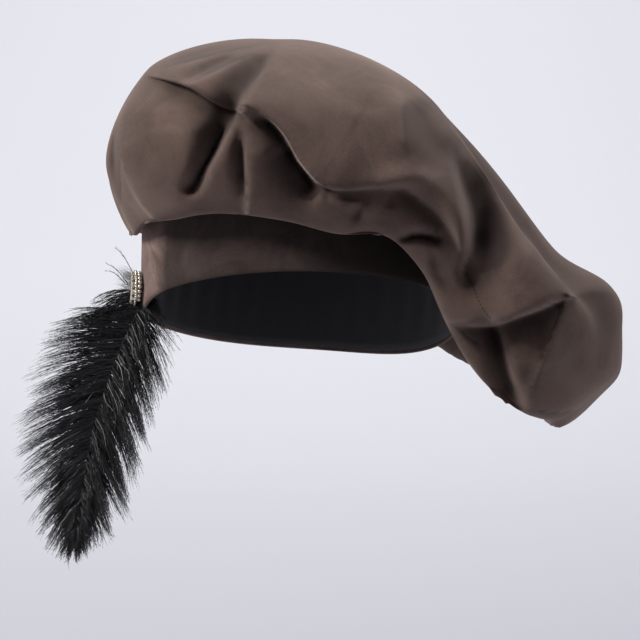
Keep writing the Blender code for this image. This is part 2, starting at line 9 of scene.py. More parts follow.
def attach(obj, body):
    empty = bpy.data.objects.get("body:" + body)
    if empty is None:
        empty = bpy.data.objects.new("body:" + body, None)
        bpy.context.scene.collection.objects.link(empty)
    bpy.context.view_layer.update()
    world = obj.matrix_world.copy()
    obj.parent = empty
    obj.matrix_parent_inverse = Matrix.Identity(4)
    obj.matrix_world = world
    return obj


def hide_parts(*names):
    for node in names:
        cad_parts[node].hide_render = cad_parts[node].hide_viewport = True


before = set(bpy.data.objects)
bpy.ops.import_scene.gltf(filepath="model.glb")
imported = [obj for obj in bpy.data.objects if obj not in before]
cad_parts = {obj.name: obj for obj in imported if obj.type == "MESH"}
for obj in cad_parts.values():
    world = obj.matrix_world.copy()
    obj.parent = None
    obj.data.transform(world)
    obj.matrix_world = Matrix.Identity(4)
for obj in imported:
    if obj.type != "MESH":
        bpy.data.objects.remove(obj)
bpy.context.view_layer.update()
bpy.ops.object.select_all(action="DESELECT")

# The band: a strip of velvet turned under at its lower edge and sewn into a ring.
# It sits tilted, higher in front, and is fuller at the back right where the bag pulls on it.
MM = 0.001
GAP = 0.3 * MM
CLOTH_WALL = 1.5 * MM
BAND_RADIUS = 93.0 * MM
BAND_HEIGHT = 60.0 * MM
BAND_TILT = math.radians(16.5)
TILT_COS = math.cos(BAND_TILT)
TILT_SIN = math.sin(BAND_TILT)
BAND_SIDES = 288
BAND_LEVELS = 25
EDGE_ROLL = 1.1 * MM
EDGE_ROLL_HEIGHT = 1.6 * MM
MOST_PROUD = 0.4 * MM
BAND_FULLNESS = [
    # mm outwards, direction in degrees, half width in degrees
    (8, 30, 32),
    (4.5, 180, 40),
]
BAND_DROOP = [
    # mm that the lower edge hangs, direction, half width
    (9, 42, 34),
    (4, 186, 14),
]
BAND_WAVES = [
    # mm in and out, waves round the band, phase, change of phase up each metre
    (0.5, 7, 1.0, 40),
    (0.35, 13, 2.2, -25),
]
BAND_PAINTED_SHADE = [
    # how much painted shade is added, from a direction in degrees, to a direction
    (0.82, 207, 215),
    (0.17, 262, 307),
    (-0.39, 330, 360),
    (0.6, 150, 60),
]


def bump(angle, centre, half_width):
    """A smooth rise to 1 towards one direction round the hat, in degrees."""
    away = np.degrees(np.angle(np.exp(1j * (angle - math.radians(centre)))))
    return np.exp(-(away / half_width) ** 2)


def bumps(angle, table):
    """The rises of all rows of a table: height, direction and half width."""
    return sum(height * bump(angle, centre, half_width) for height, centre, half_width in table)


def ring(angle, height, out=0.0):
    """Points on the band's tilted ring, at heights up from its lower edge."""
    radius = BAND_RADIUS + out + bumps(angle, BAND_FULLNESS) * MM
    x = radius * np.cos(angle)
    y = radius * np.sin(angle)
    z = height - bumps(angle, BAND_DROOP) * MM * (1 - height / BAND_HEIGHT)
    return np.stack([x, y * TILT_COS + z * TILT_SIN, z * TILT_COS - y * TILT_SIN], -1)


def read_points(mesh):
    points = np.empty(len(mesh.vertices) * 3)
    mesh.vertices.foreach_get("co", points)
    return points.reshape(-1, 3)


def write_points(mesh, points):
    mesh.vertices.foreach_set("co", np.asarray(points, float).ravel())
    mesh.update()


def write_shade(mesh, values):
    """Painted shade at each point, from 0 on open cloth to 1 in a deep fold."""
    shade = mesh.attributes.new("shade", "FLOAT", "POINT")
    shade.data.foreach_set("value", np.asarray(values, float))


def start_material(name):
    """A new material, its node tree, its shader and the place on the object."""
    made = bpy.data.materials.new(name)
    made.use_nodes = True
    tree = made.node_tree
    place = tree.nodes.new("ShaderNodeTexCoord").outputs["Object"]
    return made, tree, tree.nodes["Principled BSDF"], place


def set_inputs(node, values):
    for name, value in values.items():
        node.inputs[name].default_value = value


def add_noise(tree, place, values):
    noise = tree.nodes.new("ShaderNodeTexNoise")
    set_inputs(noise, values)
    tree.links.new(place, noise.inputs["Vector"])
    return noise.outputs["Fac"]


def add_range(tree, value, from_min, from_max, to_min=0.0, to_max=1.0):
    """A value stretched from one range to another and kept inside it."""
    stretched = tree.nodes.new("ShaderNodeMapRange")
    set_inputs(stretched, {"From Min": from_min, "From Max": from_max, "To Min": to_min, "To Max": to_max})
    tree.links.new(value, stretched.inputs["Value"])
    return stretched.outputs["Result"]


def add_relief(tree, height, strength, distance, under=None):
    """The normal of a relief, laid over another one if that is given."""
    relief = tree.nodes.new("ShaderNodeBump")
    set_inputs(relief, {"Strength": strength, "Distance": distance})
    tree.links.new(height, relief.inputs["Height"])
    if under:
        tree.links.new(under, relief.inputs["Normal"])
    return relief.outputs["Normal"]


def mix_colours(tree, factor, first, second):
    """A colour between two, each of them a plain colour or another node's output."""
    blend = tree.nodes.new("ShaderNodeMix")
    blend.data_type = "RGBA"
    tree.links.new(factor, blend.inputs["Factor"])
    for socket, colour in (("A", first), ("B", second)):
        if isinstance(colour, tuple):
            blend.inputs[socket].default_value = (*colour, 1)
        else:
            tree.links.new(colour, blend.inputs[socket])
    return blend.outputs["Result"]


def pile_group():
    """Brushed patches, fine fibres and their relief, from a place on the cloth, with the colour darkened by
    painted shade.
    """
    if "velvet pile" in bpy.data.node_groups:
        return bpy.data.node_groups["velvet pile"]
    group = bpy.data.node_groups.new("velvet pile", "ShaderNodeTree")
    for name, kind in (("Place", "Vector"), ("Colour", "Color"), ("Deep Colour", "Color"),
                       ("Patch Scale", "Float"), ("Shade", "Float")):
        group.interface.new_socket(name, in_out="INPUT", socket_type="NodeSocket" + kind)
    for name, kind in (("Colour", "Color"), ("Normal", "Vector")):
        group.interface.new_socket(name, in_out="OUTPUT", socket_type="NodeSocket" + kind)
    start = group.nodes.new("NodeGroupInput")
    end = group.nodes.new("NodeGroupOutput")
    link = group.links.new

    patches = add_noise(group, start.outputs["Place"], {"Detail": 5.0, "Roughness": 0.62, "Distortion": 0.9})
    link(start.outputs["Patch Scale"], patches.node.inputs["Scale"])
    fibres = add_noise(group, start.outputs["Place"], {"Scale": 1400.0, "Detail": 2.0})
    tone = group.nodes.new("ShaderNodeMath")
    tone.operation = "ADD"
    tone.use_clamp = True
    link(add_range(group, patches, 0.34, 0.66), tone.inputs[0])
    link(add_range(group, fibres, 0.3, 0.7, -0.22, 0.22), tone.inputs[1])
    open_cloth = mix_colours(group, tone.outputs["Value"],
                             start.outputs["Deep Colour"], start.outputs["Colour"])
    # painted shade: the colour is mixed towards near black as far as the Shade input says
    link(mix_colours(group, start.outputs["Shade"], open_cloth, (0.006, 0.0045, 0.004)), end.inputs["Colour"])
    brushed = add_relief(group, patches, 0.25, 0.0006)
    link(add_relief(group, fibres, 0.35, 0.0003, under=brushed), end.inputs["Normal"])
    return group


def velvet(name, colour, deep, sheen_tint, patch_scale):
    """Velvet: short pile whose colour is darkened by the painted shade that its mesh holds, and which catches
    light along its edges.
    """
    made, tree, shader, place = start_material(name)
    pile = tree.nodes.new("ShaderNodeGroup")
    pile.node_tree = pile_group()
    set_inputs(pile, {"Colour": (*colour, 1), "Deep Colour": (*deep, 1), "Patch Scale": patch_scale})
    painted_shade = tree.nodes.new("ShaderNodeAttribute")
    painted_shade.attribute_name = "shade"
    tree.links.new(painted_shade.outputs["Fac"], pile.inputs["Shade"])
    tree.links.new(place, pile.inputs["Place"])
    tree.links.new(pile.outputs["Colour"], shader.inputs["Base Color"])
    tree.links.new(pile.outputs["Normal"], shader.inputs["Normal"])
    set_inputs(shader, {"Roughness": 0.92, "Specular IOR Level": 0.18, "Sheen Weight": 0.34,
                        "Sheen Roughness": 0.5, "Sheen Tint": (*sheen_tint, 1)})
    return made


def cloth_strip(name, sides, levels, height):
    """A strip of cloth sewn into an open ring, with levels of points up its height."""
    bpy.ops.mesh.primitive_cylinder_add(vertices=sides, radius=BAND_RADIUS, depth=height,
                                        end_fill_type="NOTHING", location=(0, 0, BAND_HEIGHT / 2))
    strip = bpy.context.object
    strip.name = name
    bpy.ops.object.transform_apply(location=True, rotation=True, scale=True)
    bpy.ops.object.mode_set(mode="EDIT")
    bpy.ops.mesh.select_all(action="DESELECT")
    shape = bmesh.from_edit_mesh(strip.data)
    for edge in shape.edges:
        edge.select = abs(edge.verts[0].co.z - edge.verts[1].co.z) > height / 2
    bmesh.update_edit_mesh(strip.data)
    bpy.ops.mesh.subdivide(number_cuts=levels - 2)
    bpy.ops.object.mode_set(mode="OBJECT")
    return strip


def add_wall(piece, thickness, full_wall=None):
    """The cloth's thickness, inwards from the face that shows, and thinner where a group says so."""
    wall = piece.modifiers.new("wall", "SOLIDIFY")
    wall.thickness = thickness
    wall.offset = -1.0
    if full_wall:
        wall.use_quality_normals = True
        wall.vertex_group = full_wall.name
    bpy.ops.object.modifier_apply(modifier=wall.name)
    bpy.ops.object.shade_smooth()


band = cloth_strip("velvet_band", BAND_SIDES, BAND_LEVELS, BAND_HEIGHT)
points = read_points(band.data)
angle = np.arctan2(points[:, 1], points[:, 0])
height = points[:, 2]
# the cloth rolls in at the lower edge and waves a little between the two sewn edges
roll = -EDGE_ROLL * np.exp(-height / EDGE_ROLL_HEIGHT)
wave = sum(depth * MM * np.sin(count * angle + phase + climb * height)
           for depth, count, phase, climb in BAND_WAVES)
wave *= np.sin(math.pi * np.clip(height / BAND_HEIGHT, 0, 1))
write_points(band.data, ring(angle, height, np.minimum(roll + wave, MOST_PROUD)))
# painted shade on the band, by direction round it: none at the left, which faces the key light and where the
# pile is brushed towards it, dark round the front, darkest at the right in the bag's shadow, and part dark at
# the back right
round_turn = np.degrees(angle) % 360
write_shade(band.data, sum(more * np.clip((round_turn - start) / (end - start), 0, 1)
                           for more, start, end in BAND_PAINTED_SHADE))
add_wall(band, CLOTH_WALL)
# its colour is lighter than the crown's, and the painted shade darkens it round the front, the right and the
# back right
band.data.materials.append(velvet("band_velvet_cloth", (0.230, 0.165, 0.145), (0.095, 0.062, 0.055),
                                  (0.62, 0.47, 0.42), 34.0))
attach(band, "root")
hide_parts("band")


# The lining: a plain charcoal cloth felled inside the band, with an edge that catches the light at the back
# right, where one looks into the hat.
LINING_WALL = 0.7 * MM
LINING_SETBACK = 2.0 * MM
LINING_EASE = 0.5 * MM
LINING_SIDES = 240
LINING_LEVELS = 14
PUCKER_COUNT = 37
PUCKER_CLIMB = 50
PUCKER_DEPTH = 0.5 * MM
MOST_PUCKER = 0.3 * MM


def grained(name, scale, dark, light, finish, detail=2.0, relief=None):
    """A finish with a fine grain between two tones, and its relief's strength and distance."""
    made, tree, shader, place = start_material(name)
    grain = add_noise(tree, place, {"Scale": scale, "Detail": detail})
    tree.links.new(mix_colours(tree, grain, dark, light), shader.inputs["Base Color"])
    if relief:
        tree.links.new(add_relief(tree, grain, *relief), shader.inputs["Normal"])
    set_inputs(shader, finish)
    return made


lining_height = BAND_HEIGHT - 2 * LINING_SETBACK
lining = cloth_strip("lining_strip", LINING_SIDES, LINING_LEVELS, lining_height)
points = read_points(lining.data)
angle = np.arctan2(points[:, 1], points[:, 0])
height = points[:, 2]
pucker = PUCKER_DEPTH * np.sin(PUCKER_COUNT * angle + PUCKER_CLIMB * height)
pucker *= np.sin(math.pi * height / BAND_HEIGHT) ** 2
inside = -(CLOTH_WALL + GAP) - LINING_EASE
write_points(lining.data, ring(angle, height, inside + np.minimum(pucker, MOST_PUCKER)))
add_wall(lining, LINING_WALL)
lining.data.materials.append(grained("charcoal_cloth", 900.0, (0.014, 0.013, 0.016), (0.032, 0.030, 0.035),
                                     {"Roughness": 0.8, "Sheen Weight": 0.2},
                                     detail=3.0, relief=(0.3, 0.0002)))
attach(lining, "root")
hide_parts("band_lining")


# The crown: a big bag of the same velvet, gathered into the band's upper edge, puffed at the
# left and slouching over to hang at the right. The plain bag is lofted through its sections,
# and each fold is then pressed or raised along a line on the view that it shows best in.
APEX = (-12.0 * MM, 12.0 * MM, 163.0 * MM)
UNDERSIDE_SHARE = 0.40
UNDERSIDE_DROP = 0.72
BAND_CLEARANCE = 1.2 * MM
SEAM_RISE = 1.5 * MM
TURN_OUT = 1.5 * BAND_CLEARANCE
EYE_DISTANCE = 1.2
EYE_RISE = math.radians(2.5)
EYE_TARGET = np.array([10.2, 0.0, -4.8]) * MM
EYE_FORWARD = np.array([0.0, math.cos(EYE_RISE), -math.sin(EYE_RISE)])
EYE_UP = np.array([0.0, math.sin(EYE_RISE), math.cos(EYE_RISE)])
CROWN_MERIDIANS = 340
CROWN_ROWS = 136
MERIDIAN_CROWDING = 0.65
MERIDIANS_APART = math.radians(115)
ROW_CROWDING = 0.045
SPAN_STEPS = 24
FOLD_PIECES = 36
FOLD_END = 0.3
FACING_FULL = 0.25
# in mm on a view: the fold depth whose painted shade is full, and the width of a crease's painted shade
DARK_DEPTH = 14.0
CREASE_WIDTH = 3.2
# how strong the painted shade is in a crease and in the deepest folds
CREASE_SHADE = 1.2
FOLD_SHADE = 0.75
SOFTENING = 0.4
# share of the wall that is left at the seam
HEM_WALL = 0.2
# shares of the way from the seam to the apex
FOLDS_START = 0.04
FOLDS_FULL = 0.14
FOLDS_FULL_BEHIND = 0.04
GATHERS_RISE = (0.02, 0.12)
GATHERS_FADE = (0.3, 0.5)
WALL_THICKENS = (0.12, 0.24)
# direction in degrees and half width
SMOOTH_FRONT = (245, 95)
FRONT_HEM = (275, 50)

HEM_CHANGES = [
    # mm up from the sections, direction in degrees, half width
    (7, 211, 14),
    (-6, 284, 11),
    (6, 318, 9),
]

CROWN_GATHERS = [
    # gathers round the seam, phase, depth in mm
    (17, 0.4, 1.7),
    (11, 2.1, 1.3),
]

CROWN_SECTIONS = [
    # direction, hem r, hem z, rim r, rim z, shoulder r, shoulder z, crest r, crest z
    (0, 158, -64, 191, -18, 143, 46, 80, 117),
    (30, 148, -50, 180, -2, 145, 58, 80, 129.5),
    (60, 132, -16, 164, 28, 140, 88, 78, 142.5),
    (90, 122, 2, 152, 40, 130, 98, 76, 147),
    (120, 114, 24, 142, 58, 124, 107, 76, 147),
    (150, 116, 47, 130, 80, 115, 119, 80, 152),
    (180, 101.5, 45.5, 117, 85, 103, 125.5, 81, 151.5),
    (210, 101, 46, 121, 90, 111, 125, 79, 149.5),
    (240, 105, 58, 128, 88, 118, 120, 74, 148),
    (270, 106, 53, 130, 80, 122, 116, 74, 146),
    (300, 112, 42, 142, 62, 134, 102, 80, 142),
    (330, 129, -44.5, 173, -8, 144, 54, 82, 129),
]

CROWN_FOLDS = [
    # view, line of places in mm on the view, width to the left of the line, width to its right,
    # height in mm towards the viewer, power, share kept at its start, at its end, lean in mm
    # the upper left: the top lobe hangs over a crease and is drawn to a knot
    ("front", [(-95, 144), (-79, 141), (-66, 136.5), (-55, 130), (-47, 125.5), (-36, 122)],
     26, 1.8, 10, 1.6, 0.7, 0.9, 2.5),
    ("front", [(-86, 140), (-66, 134.5), (-55, 128), (-45, 122.5), (-38, 120)], 2, 13, -10, 1.6, 0.3, 1, 0),
    ("front", [(-89.5, 146.5), (-62, 153), (-36, 158.5), (-8, 162.5)], 2.5, 12, 10, 1.6, 0.4, 0.3, 0),
    ("front", [(-66.5, 140), (-52, 146), (-40, 151.5), (-21, 158)], 2.5, 10, 10, 1.6, 0.3, 0.5, 0),
    ("front", [(-87, 149), (-62, 155.5), (-36, 161)], 6, 2, -12, 1.6, 0.5, 0.3, 0),
    ("front", [(-66, 142.5), (-51.5, 148.5), (-38, 154.5)], 6, 2, -12, 1.6, 0.5, 0.3, 0),
    ("front", [(-19, 156.5), (-26, 144.5), (-32.5, 134.5), (-36, 128)], 2, 14, -15, 1.6, 0.5, 0.8, 0),
    ("front", [(-18.5, 156.5), (-25, 144.5), (-32, 134.5), (-35.5, 128)], 20, 2, 4, 1.3, 0.2, 0.2, 0.5),
    ("front", [(-36, 125.5), (-32.5, 127), (-29, 126.5)], 4, 4, 4, 2, 0.5, 0.5, 0),
    # the left: two pleats run from the knot to the hem
    ("front", [(-39, 119.5), (-47, 104), (-54, 91)], 2, 13, -20, 2.0, 0.7, 0.6, 0),
    ("front", [(-47, 104), (-54, 91), (-60, 81), (-64.5, 74)], 2, 5.5, -22, 2.2, 0.4, 0.7, 0),
    ("front", [(-36.5, 122.5), (-46, 104.5), (-55, 87.5), (-63, 74)], 24, 2, 6, 1.9, 0.8, 0.1, 2),
    ("front", [(-33, 107), (-32, 97), (-32, 79), (-32, 60.5)], 28, 1.6, 8, 1.9, 0.5, 1, 1.5),
    ("front", [(-34.5, 105), (-34.5, 91), (-34, 74)], 2.5, 5, -11, 1.8, 0.6, 0.5, 0),
    ("front", [(-70, 121), (-70, 97), (-74, 73)], 12, 14, 4, 2, 0.2, 0.2, 0),
    ("front", [(-111.5, 114.5), (-111, 105), (-105.5, 86), (-98.5, 69.5), (-89.5, 57.5)],
     22, 1.5, 6, 1.4, 0.5, 0.7, 1.5),
    ("front", [(-110.5, 104), (-109.5, 83.5), (-109, 63)], 6, 1.5, 3, 1.4, 0.3, 0.6, 0),
    ("front", [(-113, 113.5), (-114, 97), (-113, 80.5)], 3, 3, -9, 1.6, 0.4, 0.4, 0),
    # the long diagonal that hangs over the hollow above the band
    ("front", [(-24.5, 120), (-14, 107), (-6, 95)], 2.5, 6, -16, 2, 0.2, 0.8, 0),
    ("front", [(-11, 102), (-3.5, 89), (4, 77)], 3, 12, -18, 2.2, 0.2, 0.9, 0),
    ("front", [(0, 88), (7, 78), (15, 75)], 2, 5, -14, 2, 0.6, 0.6, 0),
    ("front", [(-30, 126), (-14.5, 115), (-6, 105), (-0.5, 94), (6.5, 84.5), (16, 77), (29.5, 76), (46, 77)],
     34, 2, 13, 2.0, 0.4, 0.6, 2.5),
    ("front", [(-4, 76), (0, 68), (3.5, 66.5), (10, 71.5), (16, 75)], 2.5, 4, 3, 1.5, 0.3, 0.3, 0),
    ("front", [(16, 75), (25, 74), (35.5, 72.5), (44, 72)], 1.8, 5, -6, 1.5, 0.7, 0.3, 0),
    # the roll that turns down to the right, and the hollow behind it
    ("front", [(41.5, 77.5), (58, 81), (73, 78.5), (84.5, 69), (92, 56.5), (96, 41.5), (99.5, 25)],
     8, 7, 10, 1.8, 0.3, 0.5, 0),
    ("front", [(41, 76), (57, 74.5), (70, 66), (79, 59), (86.5, 48.5), (93.5, 36), (98, 25)],
     2, 8, -11, 1.5, 0.4, 0.5, 0),
    ("front", [(93.5, 92), (99.5, 77), (104, 58), (104, 41), (100, 24)], 15, 5.5, -38, 2.6, 0.25, 0.5, 0),
    ("front", [(56, 135.5), (59.5, 121), (60.5, 106), (64, 93)], 5, 14, 5, 1.6, 0.2, 0.3, 0),
    ("front", [(67, 131), (73.5, 116), (83, 101), (94, 88)], 14, 9, -10, 2, 0.2, 0.6, 0),
    # the gathered strip above the band, and a small hole at its right end
    ("front", [(41, 67), (40, 61), (38, 55)], 4, 4, 3, 1.5, 0.4, 0.3, 0),
    ("front", [(36, 64), (33.5, 59), (31, 54)], 2, 5, -5, 1.6, 0.4, 0.3, 0),
    ("front", [(53.5, 70), (52.5, 66), (51, 62)], 4, 4, -4, 1.8, 0.4, 0.2, 0),
    ("front", [(19, 67), (28, 66), (37, 64)], 2.5, 5, 2.5, 1.4, 0.4, 0.4, 0),
    ("front", [(60.5, 44.5), (70, 45.5), (81, 43)], 4, 2.2, -14, 2, 0.5, 0.7, 0),
    ("front", [(69, 50), (77, 50.5), (83.5, 44)], 3, 1.5, 2.5, 1.4, 0.4, 0.6, 0),
    ("front", [(77.5, 38), (79, 25), (86.5, 12)], 7, 2, -5, 1.6, 0.4, 0.3, 0),
    # the hanging end on the right: an upper panel whose lip hangs over a lower lobe
    ("front", [(88, -5), (104, -5.5), (115, -4.5), (126.5, 0), (138.5, 4), (149, 8), (158, 11)],
     32, 1.8, 12, 1.4, 0.4, 0.9, 3.5),
    ("front", [(100, -8), (115, -8), (130, -2.5), (145, 3.5), (154, 7)], 2, 13, -24, 1.7, 0.4, 0.5, 0),
    ("front", [(157, 11.5), (152, 24.5), (146, 38), (137, 52)], 26, 1.8, 7, 1.4, 1, 0.2, 2),
    ("front", [(113, -6.5), (119, -20.5), (122, -36), (127, -51), (131, -57)],
     2.5, 10, -22, 1.8, 0.9, 0.4, 0),
    ("front", [(156, 8), (150, -10), (143, -30.5), (137, -48)], 26, 1.8, 11, 1.4, 1, 0.7, 1),
    ("front", [(93.5, -8.5), (101, -16), (108, -20.5)], 3, 3, 3, 1.4, 0.8, 0.3, 0),
    ("front", [(167.5, 20.5), (178, 1), (189, -20.5)], 8, 8, 3, 2, 0.3, 0.4, 0),
    ("front", [(154, 0), (162, -20), (170, -38)], 8, 8, -4, 2, 0.3, 0.3, 0),
    ("front", [(135.5, -59), (149.5, -60), (167.5, -58)], 10, 1.5, 4, 1.4, 0.5, 0.6, 0),
    ("front", [(101, 21.5), (104, 11.5), (108, 3), (114, -4)], 1.3, 1.3, -1.6, 1.6, 0.6, 0.9, 0),
    # the hanging end's outer corners and its toe, and the puff's upper corner
    ("right", [(-70, 13), (-30, 16), (20, 16), (60, 12)], 12, 22, 14, 2.4, 0.3, 0.3, 0),
    ("right", [(-60, -36), (-30, -38), (20, -38), (50, -34)], 12, 9, 4, 2, 0.3, 0.3, 0),
    ("under", [(144, -30), (150, 0), (152, 30)], 9, 9, 6, 1.4, 0.2, 0.2, 0),
    ("left", [(60, 142), (30, 144.5), (-10, 146)], 9, 9, 2, 1.4, 0.3, 0.3, 0),
    # the soft sags of the right side, the back, the left side and the top
    ("right", [(-30, 128), (-58, 70), (-52, -10)], 16, 20, -9, 2, 0.2, 0.4, 0),
    ("right", [(34, 132), (22, 66), (-4, 0)], 18, 16, -8, 2, 0.2, 0.5, 0),
    ("right", [(84, 116), (96, 72), (72, 16)], 16, 22, -9, 2, 0.2, 0.4, 0),
    ("back", [(-96, 84), (-52, 66), (-26, 22)], 18, 14, -10, 2, 0.2, 0.6, 0),
    ("back", [(-40, 132), (10, 96), (26, 34)], 20, 16, -9, 2, 0.2, 0.6, 0),
    ("back", [(60, 128), (84, 92), (74, 54)], 14, 16, -8, 2, 0.2, 0.6, 0),
    ("left", [(-66, 116), (-58, 88), (-64, 60)], 12, 14, -6, 2, 0.3, 0.5, 0),
    ("left", [(10, 122), (4, 92), (12, 60)], 10, 12, -6, 2, 0.2, 0.5, 0),
    ("top", [(30, 90), (70, 40), (118, 30)], 22, 18, -8, 2, 0.2, 0.4, 0),
    ("top", [(-70, 70), (-30, 76), (20, 60)], 18, 22, -7, 2, 0.2, 0.3, 0),
]


def round_the_bag(angle, values):
    """Values given every 30 degrees, joined smoothly round the circle."""
    count = len(values)
    turn = (angle / (2 * math.pi) * count) % count
    first = np.floor(turn).astype(int)
    t = turn - first
    values = np.asarray(values, float)
    a, b, c, d = (values[(first + k) % count] for k in (-1, 0, 1, 2))
    return 0.5 * (2 * b + (c - a) * t + (2 * a - 5 * b + 4 * c - d) * t**2 + (3 * b - a - 3 * c + d) * t**3)


def smooth_curves(points, shares):
    """Centripetal curves through rows of points, less the end points, read at shares of their length."""
    gaps = np.linalg.norm(np.diff(points, axis=1), axis=2) ** 0.5
    knots = np.concatenate([np.zeros((len(points), 1)), np.cumsum(gaps, 1)], 1)
    spans = []
    for j in range(1, points.shape[1] - 2):
        t0, t1, t2, t3 = (knots[:, j + k][:, None] for k in (-1, 0, 1, 2))
        p0, p1, p2, p3 = (points[:, j + k][:, None, :] for k in (-1, 0, 1, 2))
        t = t1 + (t2 - t1) * np.linspace(0, 1, SPAN_STEPS, endpoint=False)[None, :]

        def mix(a, b, from_t, to_t):
            share = ((t - from_t) / (to_t - from_t))[..., None]
            return a * (1 - share) + b * share

        a1, a2, a3 = mix(p0, p1, t0, t1), mix(p1, p2, t1, t2), mix(p2, p3, t2, t3)
        spans.append(mix(mix(a1, a2, t0, t2), mix(a2, a3, t1, t3), t1, t2))
    spans.append(points[:, -2:-1])
    fine = np.concatenate(spans, 1)
    steps = np.linalg.norm(np.diff(fine, axis=1), axis=2)
    length = np.concatenate([np.zeros((len(fine), 1)), np.cumsum(steps, 1)], 1)
    length /= length[:, -1:]
    curves = np.empty((len(fine), len(shares), fine.shape[2]))
    for i in range(len(fine)):
        for axis in range(fine.shape[2]):
            curves[i, :, axis] = np.interp(shares, length[i], fine[i, :, axis])
    return curves


def plain_bag(angles, shares):
    """The seam on the band, and the bag without its folds, as meridians up to the apex."""
    columns = np.array([row[1:] for row in CROWN_SECTIONS], float).T * MM
    hem_r, hem_z, rim_r, rim_z, shoulder_r, shoulder_z, crest_r, crest_z = (
        round_the_bag(angles, column) for column in columns)
    # the hem is caught up at the left, sags over the band in front and is pulled up at the hanging end
    hem_z = hem_z + bumps(angles, HEM_CHANGES) * MM

    def at(radius, z):
        return np.stack([radius * np.cos(angles), radius * np.sin(angles), z], -1)

    seam = ring(angles, BAND_HEIGHT + GAP, -CLOTH_WALL)
    turn = ring(angles, BAND_HEIGHT + SEAM_RISE, TURN_OUT)
    turn_r = np.hypot(turn[:, 0], turn[:, 1])
    under_r = turn_r + UNDERSIDE_SHARE * (hem_r - turn_r)
    under_z = turn[:, 2] + UNDERSIDE_DROP * (hem_z - turn[:, 2])
    beyond_r = round_the_bag(angles + math.pi, columns[6])
    beyond_z = round_the_bag(angles + math.pi, columns[7])
    sections = [
        seam, turn, at(under_r, under_z), at(hem_r, hem_z), at(rim_r, rim_z), at(shoulder_r, shoulder_z),
        at(crest_r, crest_z), np.broadcast_to(APEX, seam.shape), at(-beyond_r, beyond_z),
    ]
    return seam, smooth_curves(np.stack(sections, 1), shares)


def outward(grid):
    """Directions out of a grid of meridians."""
    round_step = np.roll(grid, -1, 0) - np.roll(grid, 1, 0)
    up_step = np.gradient(grid, axis=1)
    normals = np.cross(round_step, up_step)
    normals /= np.maximum(np.linalg.norm(normals, axis=2, keepdims=True), 1e-12)
    normals[:, -1] = (0, 0, 1)
    return normals


def smoothstep(value, low, high):
    t = np.clip((value - low) / (high - low), 0, 1)
    return t * t * (3 - 2 * t)


def look_at(points, view):
    """Places in mm on a view, the directions from the points to the viewer, and the view's two axes."""
    if view == "front":
        sight = points - (EYE_TARGET - EYE_FORWARD * EYE_DISTANCE)
        scale = EYE_DISTANCE / (sight @ EYE_FORWARD)
        place = np.stack([EYE_TARGET[0] + sight[:, 0] * scale, EYE_TARGET[2] + (sight @ EYE_UP) * scale], -1)
        across = np.array([1.0, 0.0, 0.0])
        return place / MM, -sight / np.linalg.norm(sight, axis=1, keepdims=True), across, EYE_UP
    across, up, toward = (np.array(axis, float) for axis in {
        "right": ((0, 1, 0), (0, 0, 1), (1, 0, 0)),
        "back": ((-1, 0, 0), (0, 0, 1), (0, 1, 0)),
        "left": ((0, -1, 0), (0, 0, 1), (-1, 0, 0)),
        "top": ((1, 0, 0), (0, 1, 0), (0, 0, 1)),
        "under": ((1, 0, 0), (0, -1, 0), (0, 0, -1)),
    }[view])
    place = np.stack([points @ across, points @ up], -1)
    return place / MM, np.broadcast_to(toward, points.shape), across, up


def fold_curve(line, pieces):
    """A smooth curve through the places of a fold's line."""
    line = np.array(line, float)
    line = np.concatenate([[2 * line[0] - line[1]], line, [2 * line[-1] - line[-2]]])
    return smooth_curves(line[None], np.linspace(0, 1, pieces + 1))[0]


def fold_height(place, fold):
    """One fold's height in mm at places on its view, its lean over its steeper side, and its painted shade.
    """
    line, left, right, height, power, start, end, lean = fold
    curve = fold_curve(line, FOLD_PIECES)
    nearest = np.full(len(place), 1e9)
    side = np.zeros(len(place))
    along = np.zeros(len(place))
    heading = np.zeros((len(place), 2))
    for i in range(FOLD_PIECES):
        step = curve[i + 1] - curve[i]
        offset = place - curve[i]
        share = np.clip(offset @ step / (step @ step), 0, 1)
        miss = offset - share[:, None] * step
        distance = np.hypot(miss[:, 0], miss[:, 1])
        closer = distance < nearest
        nearest = np.where(closer, distance, nearest)
        turned = step[0] * miss[:, 1] - step[1] * miss[:, 0]
        turned = turned / (np.linalg.norm(step) * np.maximum(distance, 1e-9))
        side = np.where(closer, turned, side)
        along = np.where(closer, (i + share) / FOLD_PIECES, along)
        heading = np.where(closer[:, None], step / np.linalg.norm(step), heading)
    width = right + (left - right) * smoothstep(side, -1, 1)
    kept = start + (1 - start) * smoothstep(along, 0, FOLD_END)
    kept = kept * (end + (1 - end) * smoothstep(1 - along, 0, FOLD_END))
    profile = kept * np.exp(-(nearest / width) ** power)
    over = np.stack([heading[:, 1], -heading[:, 0]], -1) * (1 if left > right else -1)
    shade = min(1.0, max(0.0, -height / DARK_DEPTH)) * profile
    if height > 0 and min(left, right) <= CREASE_WIDTH:
        # a raised fold gets painted shade in the crease at its steep side, over its lit edge
        under_edge = smoothstep(side if left < right else -side, 0, 0.6)
        shade = CREASE_SHADE * under_edge * kept * np.exp(-(nearest / CREASE_WIDTH) ** 2)
    return height * profile, lean * over * profile[:, None], shade


def clear_of_band(points, clearance):
    """Points moved out of the band's wall and its hollow, straight away from the band's axis."""
    x = points[:, 0]
    y = points[:, 1] * TILT_COS - points[:, 2] * TILT_SIN
    z = points[:, 2] * TILT_COS + points[:, 1] * TILT_SIN
    edge = ring(np.arctan2(y, x), z, clearance)
    least = np.hypot(edge[:, 0], edge[:, 1] * TILT_COS - edge[:, 2] * TILT_SIN)
    radius = np.hypot(x, y)
    push = np.where((z < BAND_HEIGHT + SEAM_RISE) & (radius < least), least / radius, 1.0)
    x, y = x * push, y * push
    return np.stack([x, y * TILT_COS + z * TILT_SIN, z * TILT_COS - y * TILT_SIN], -1)


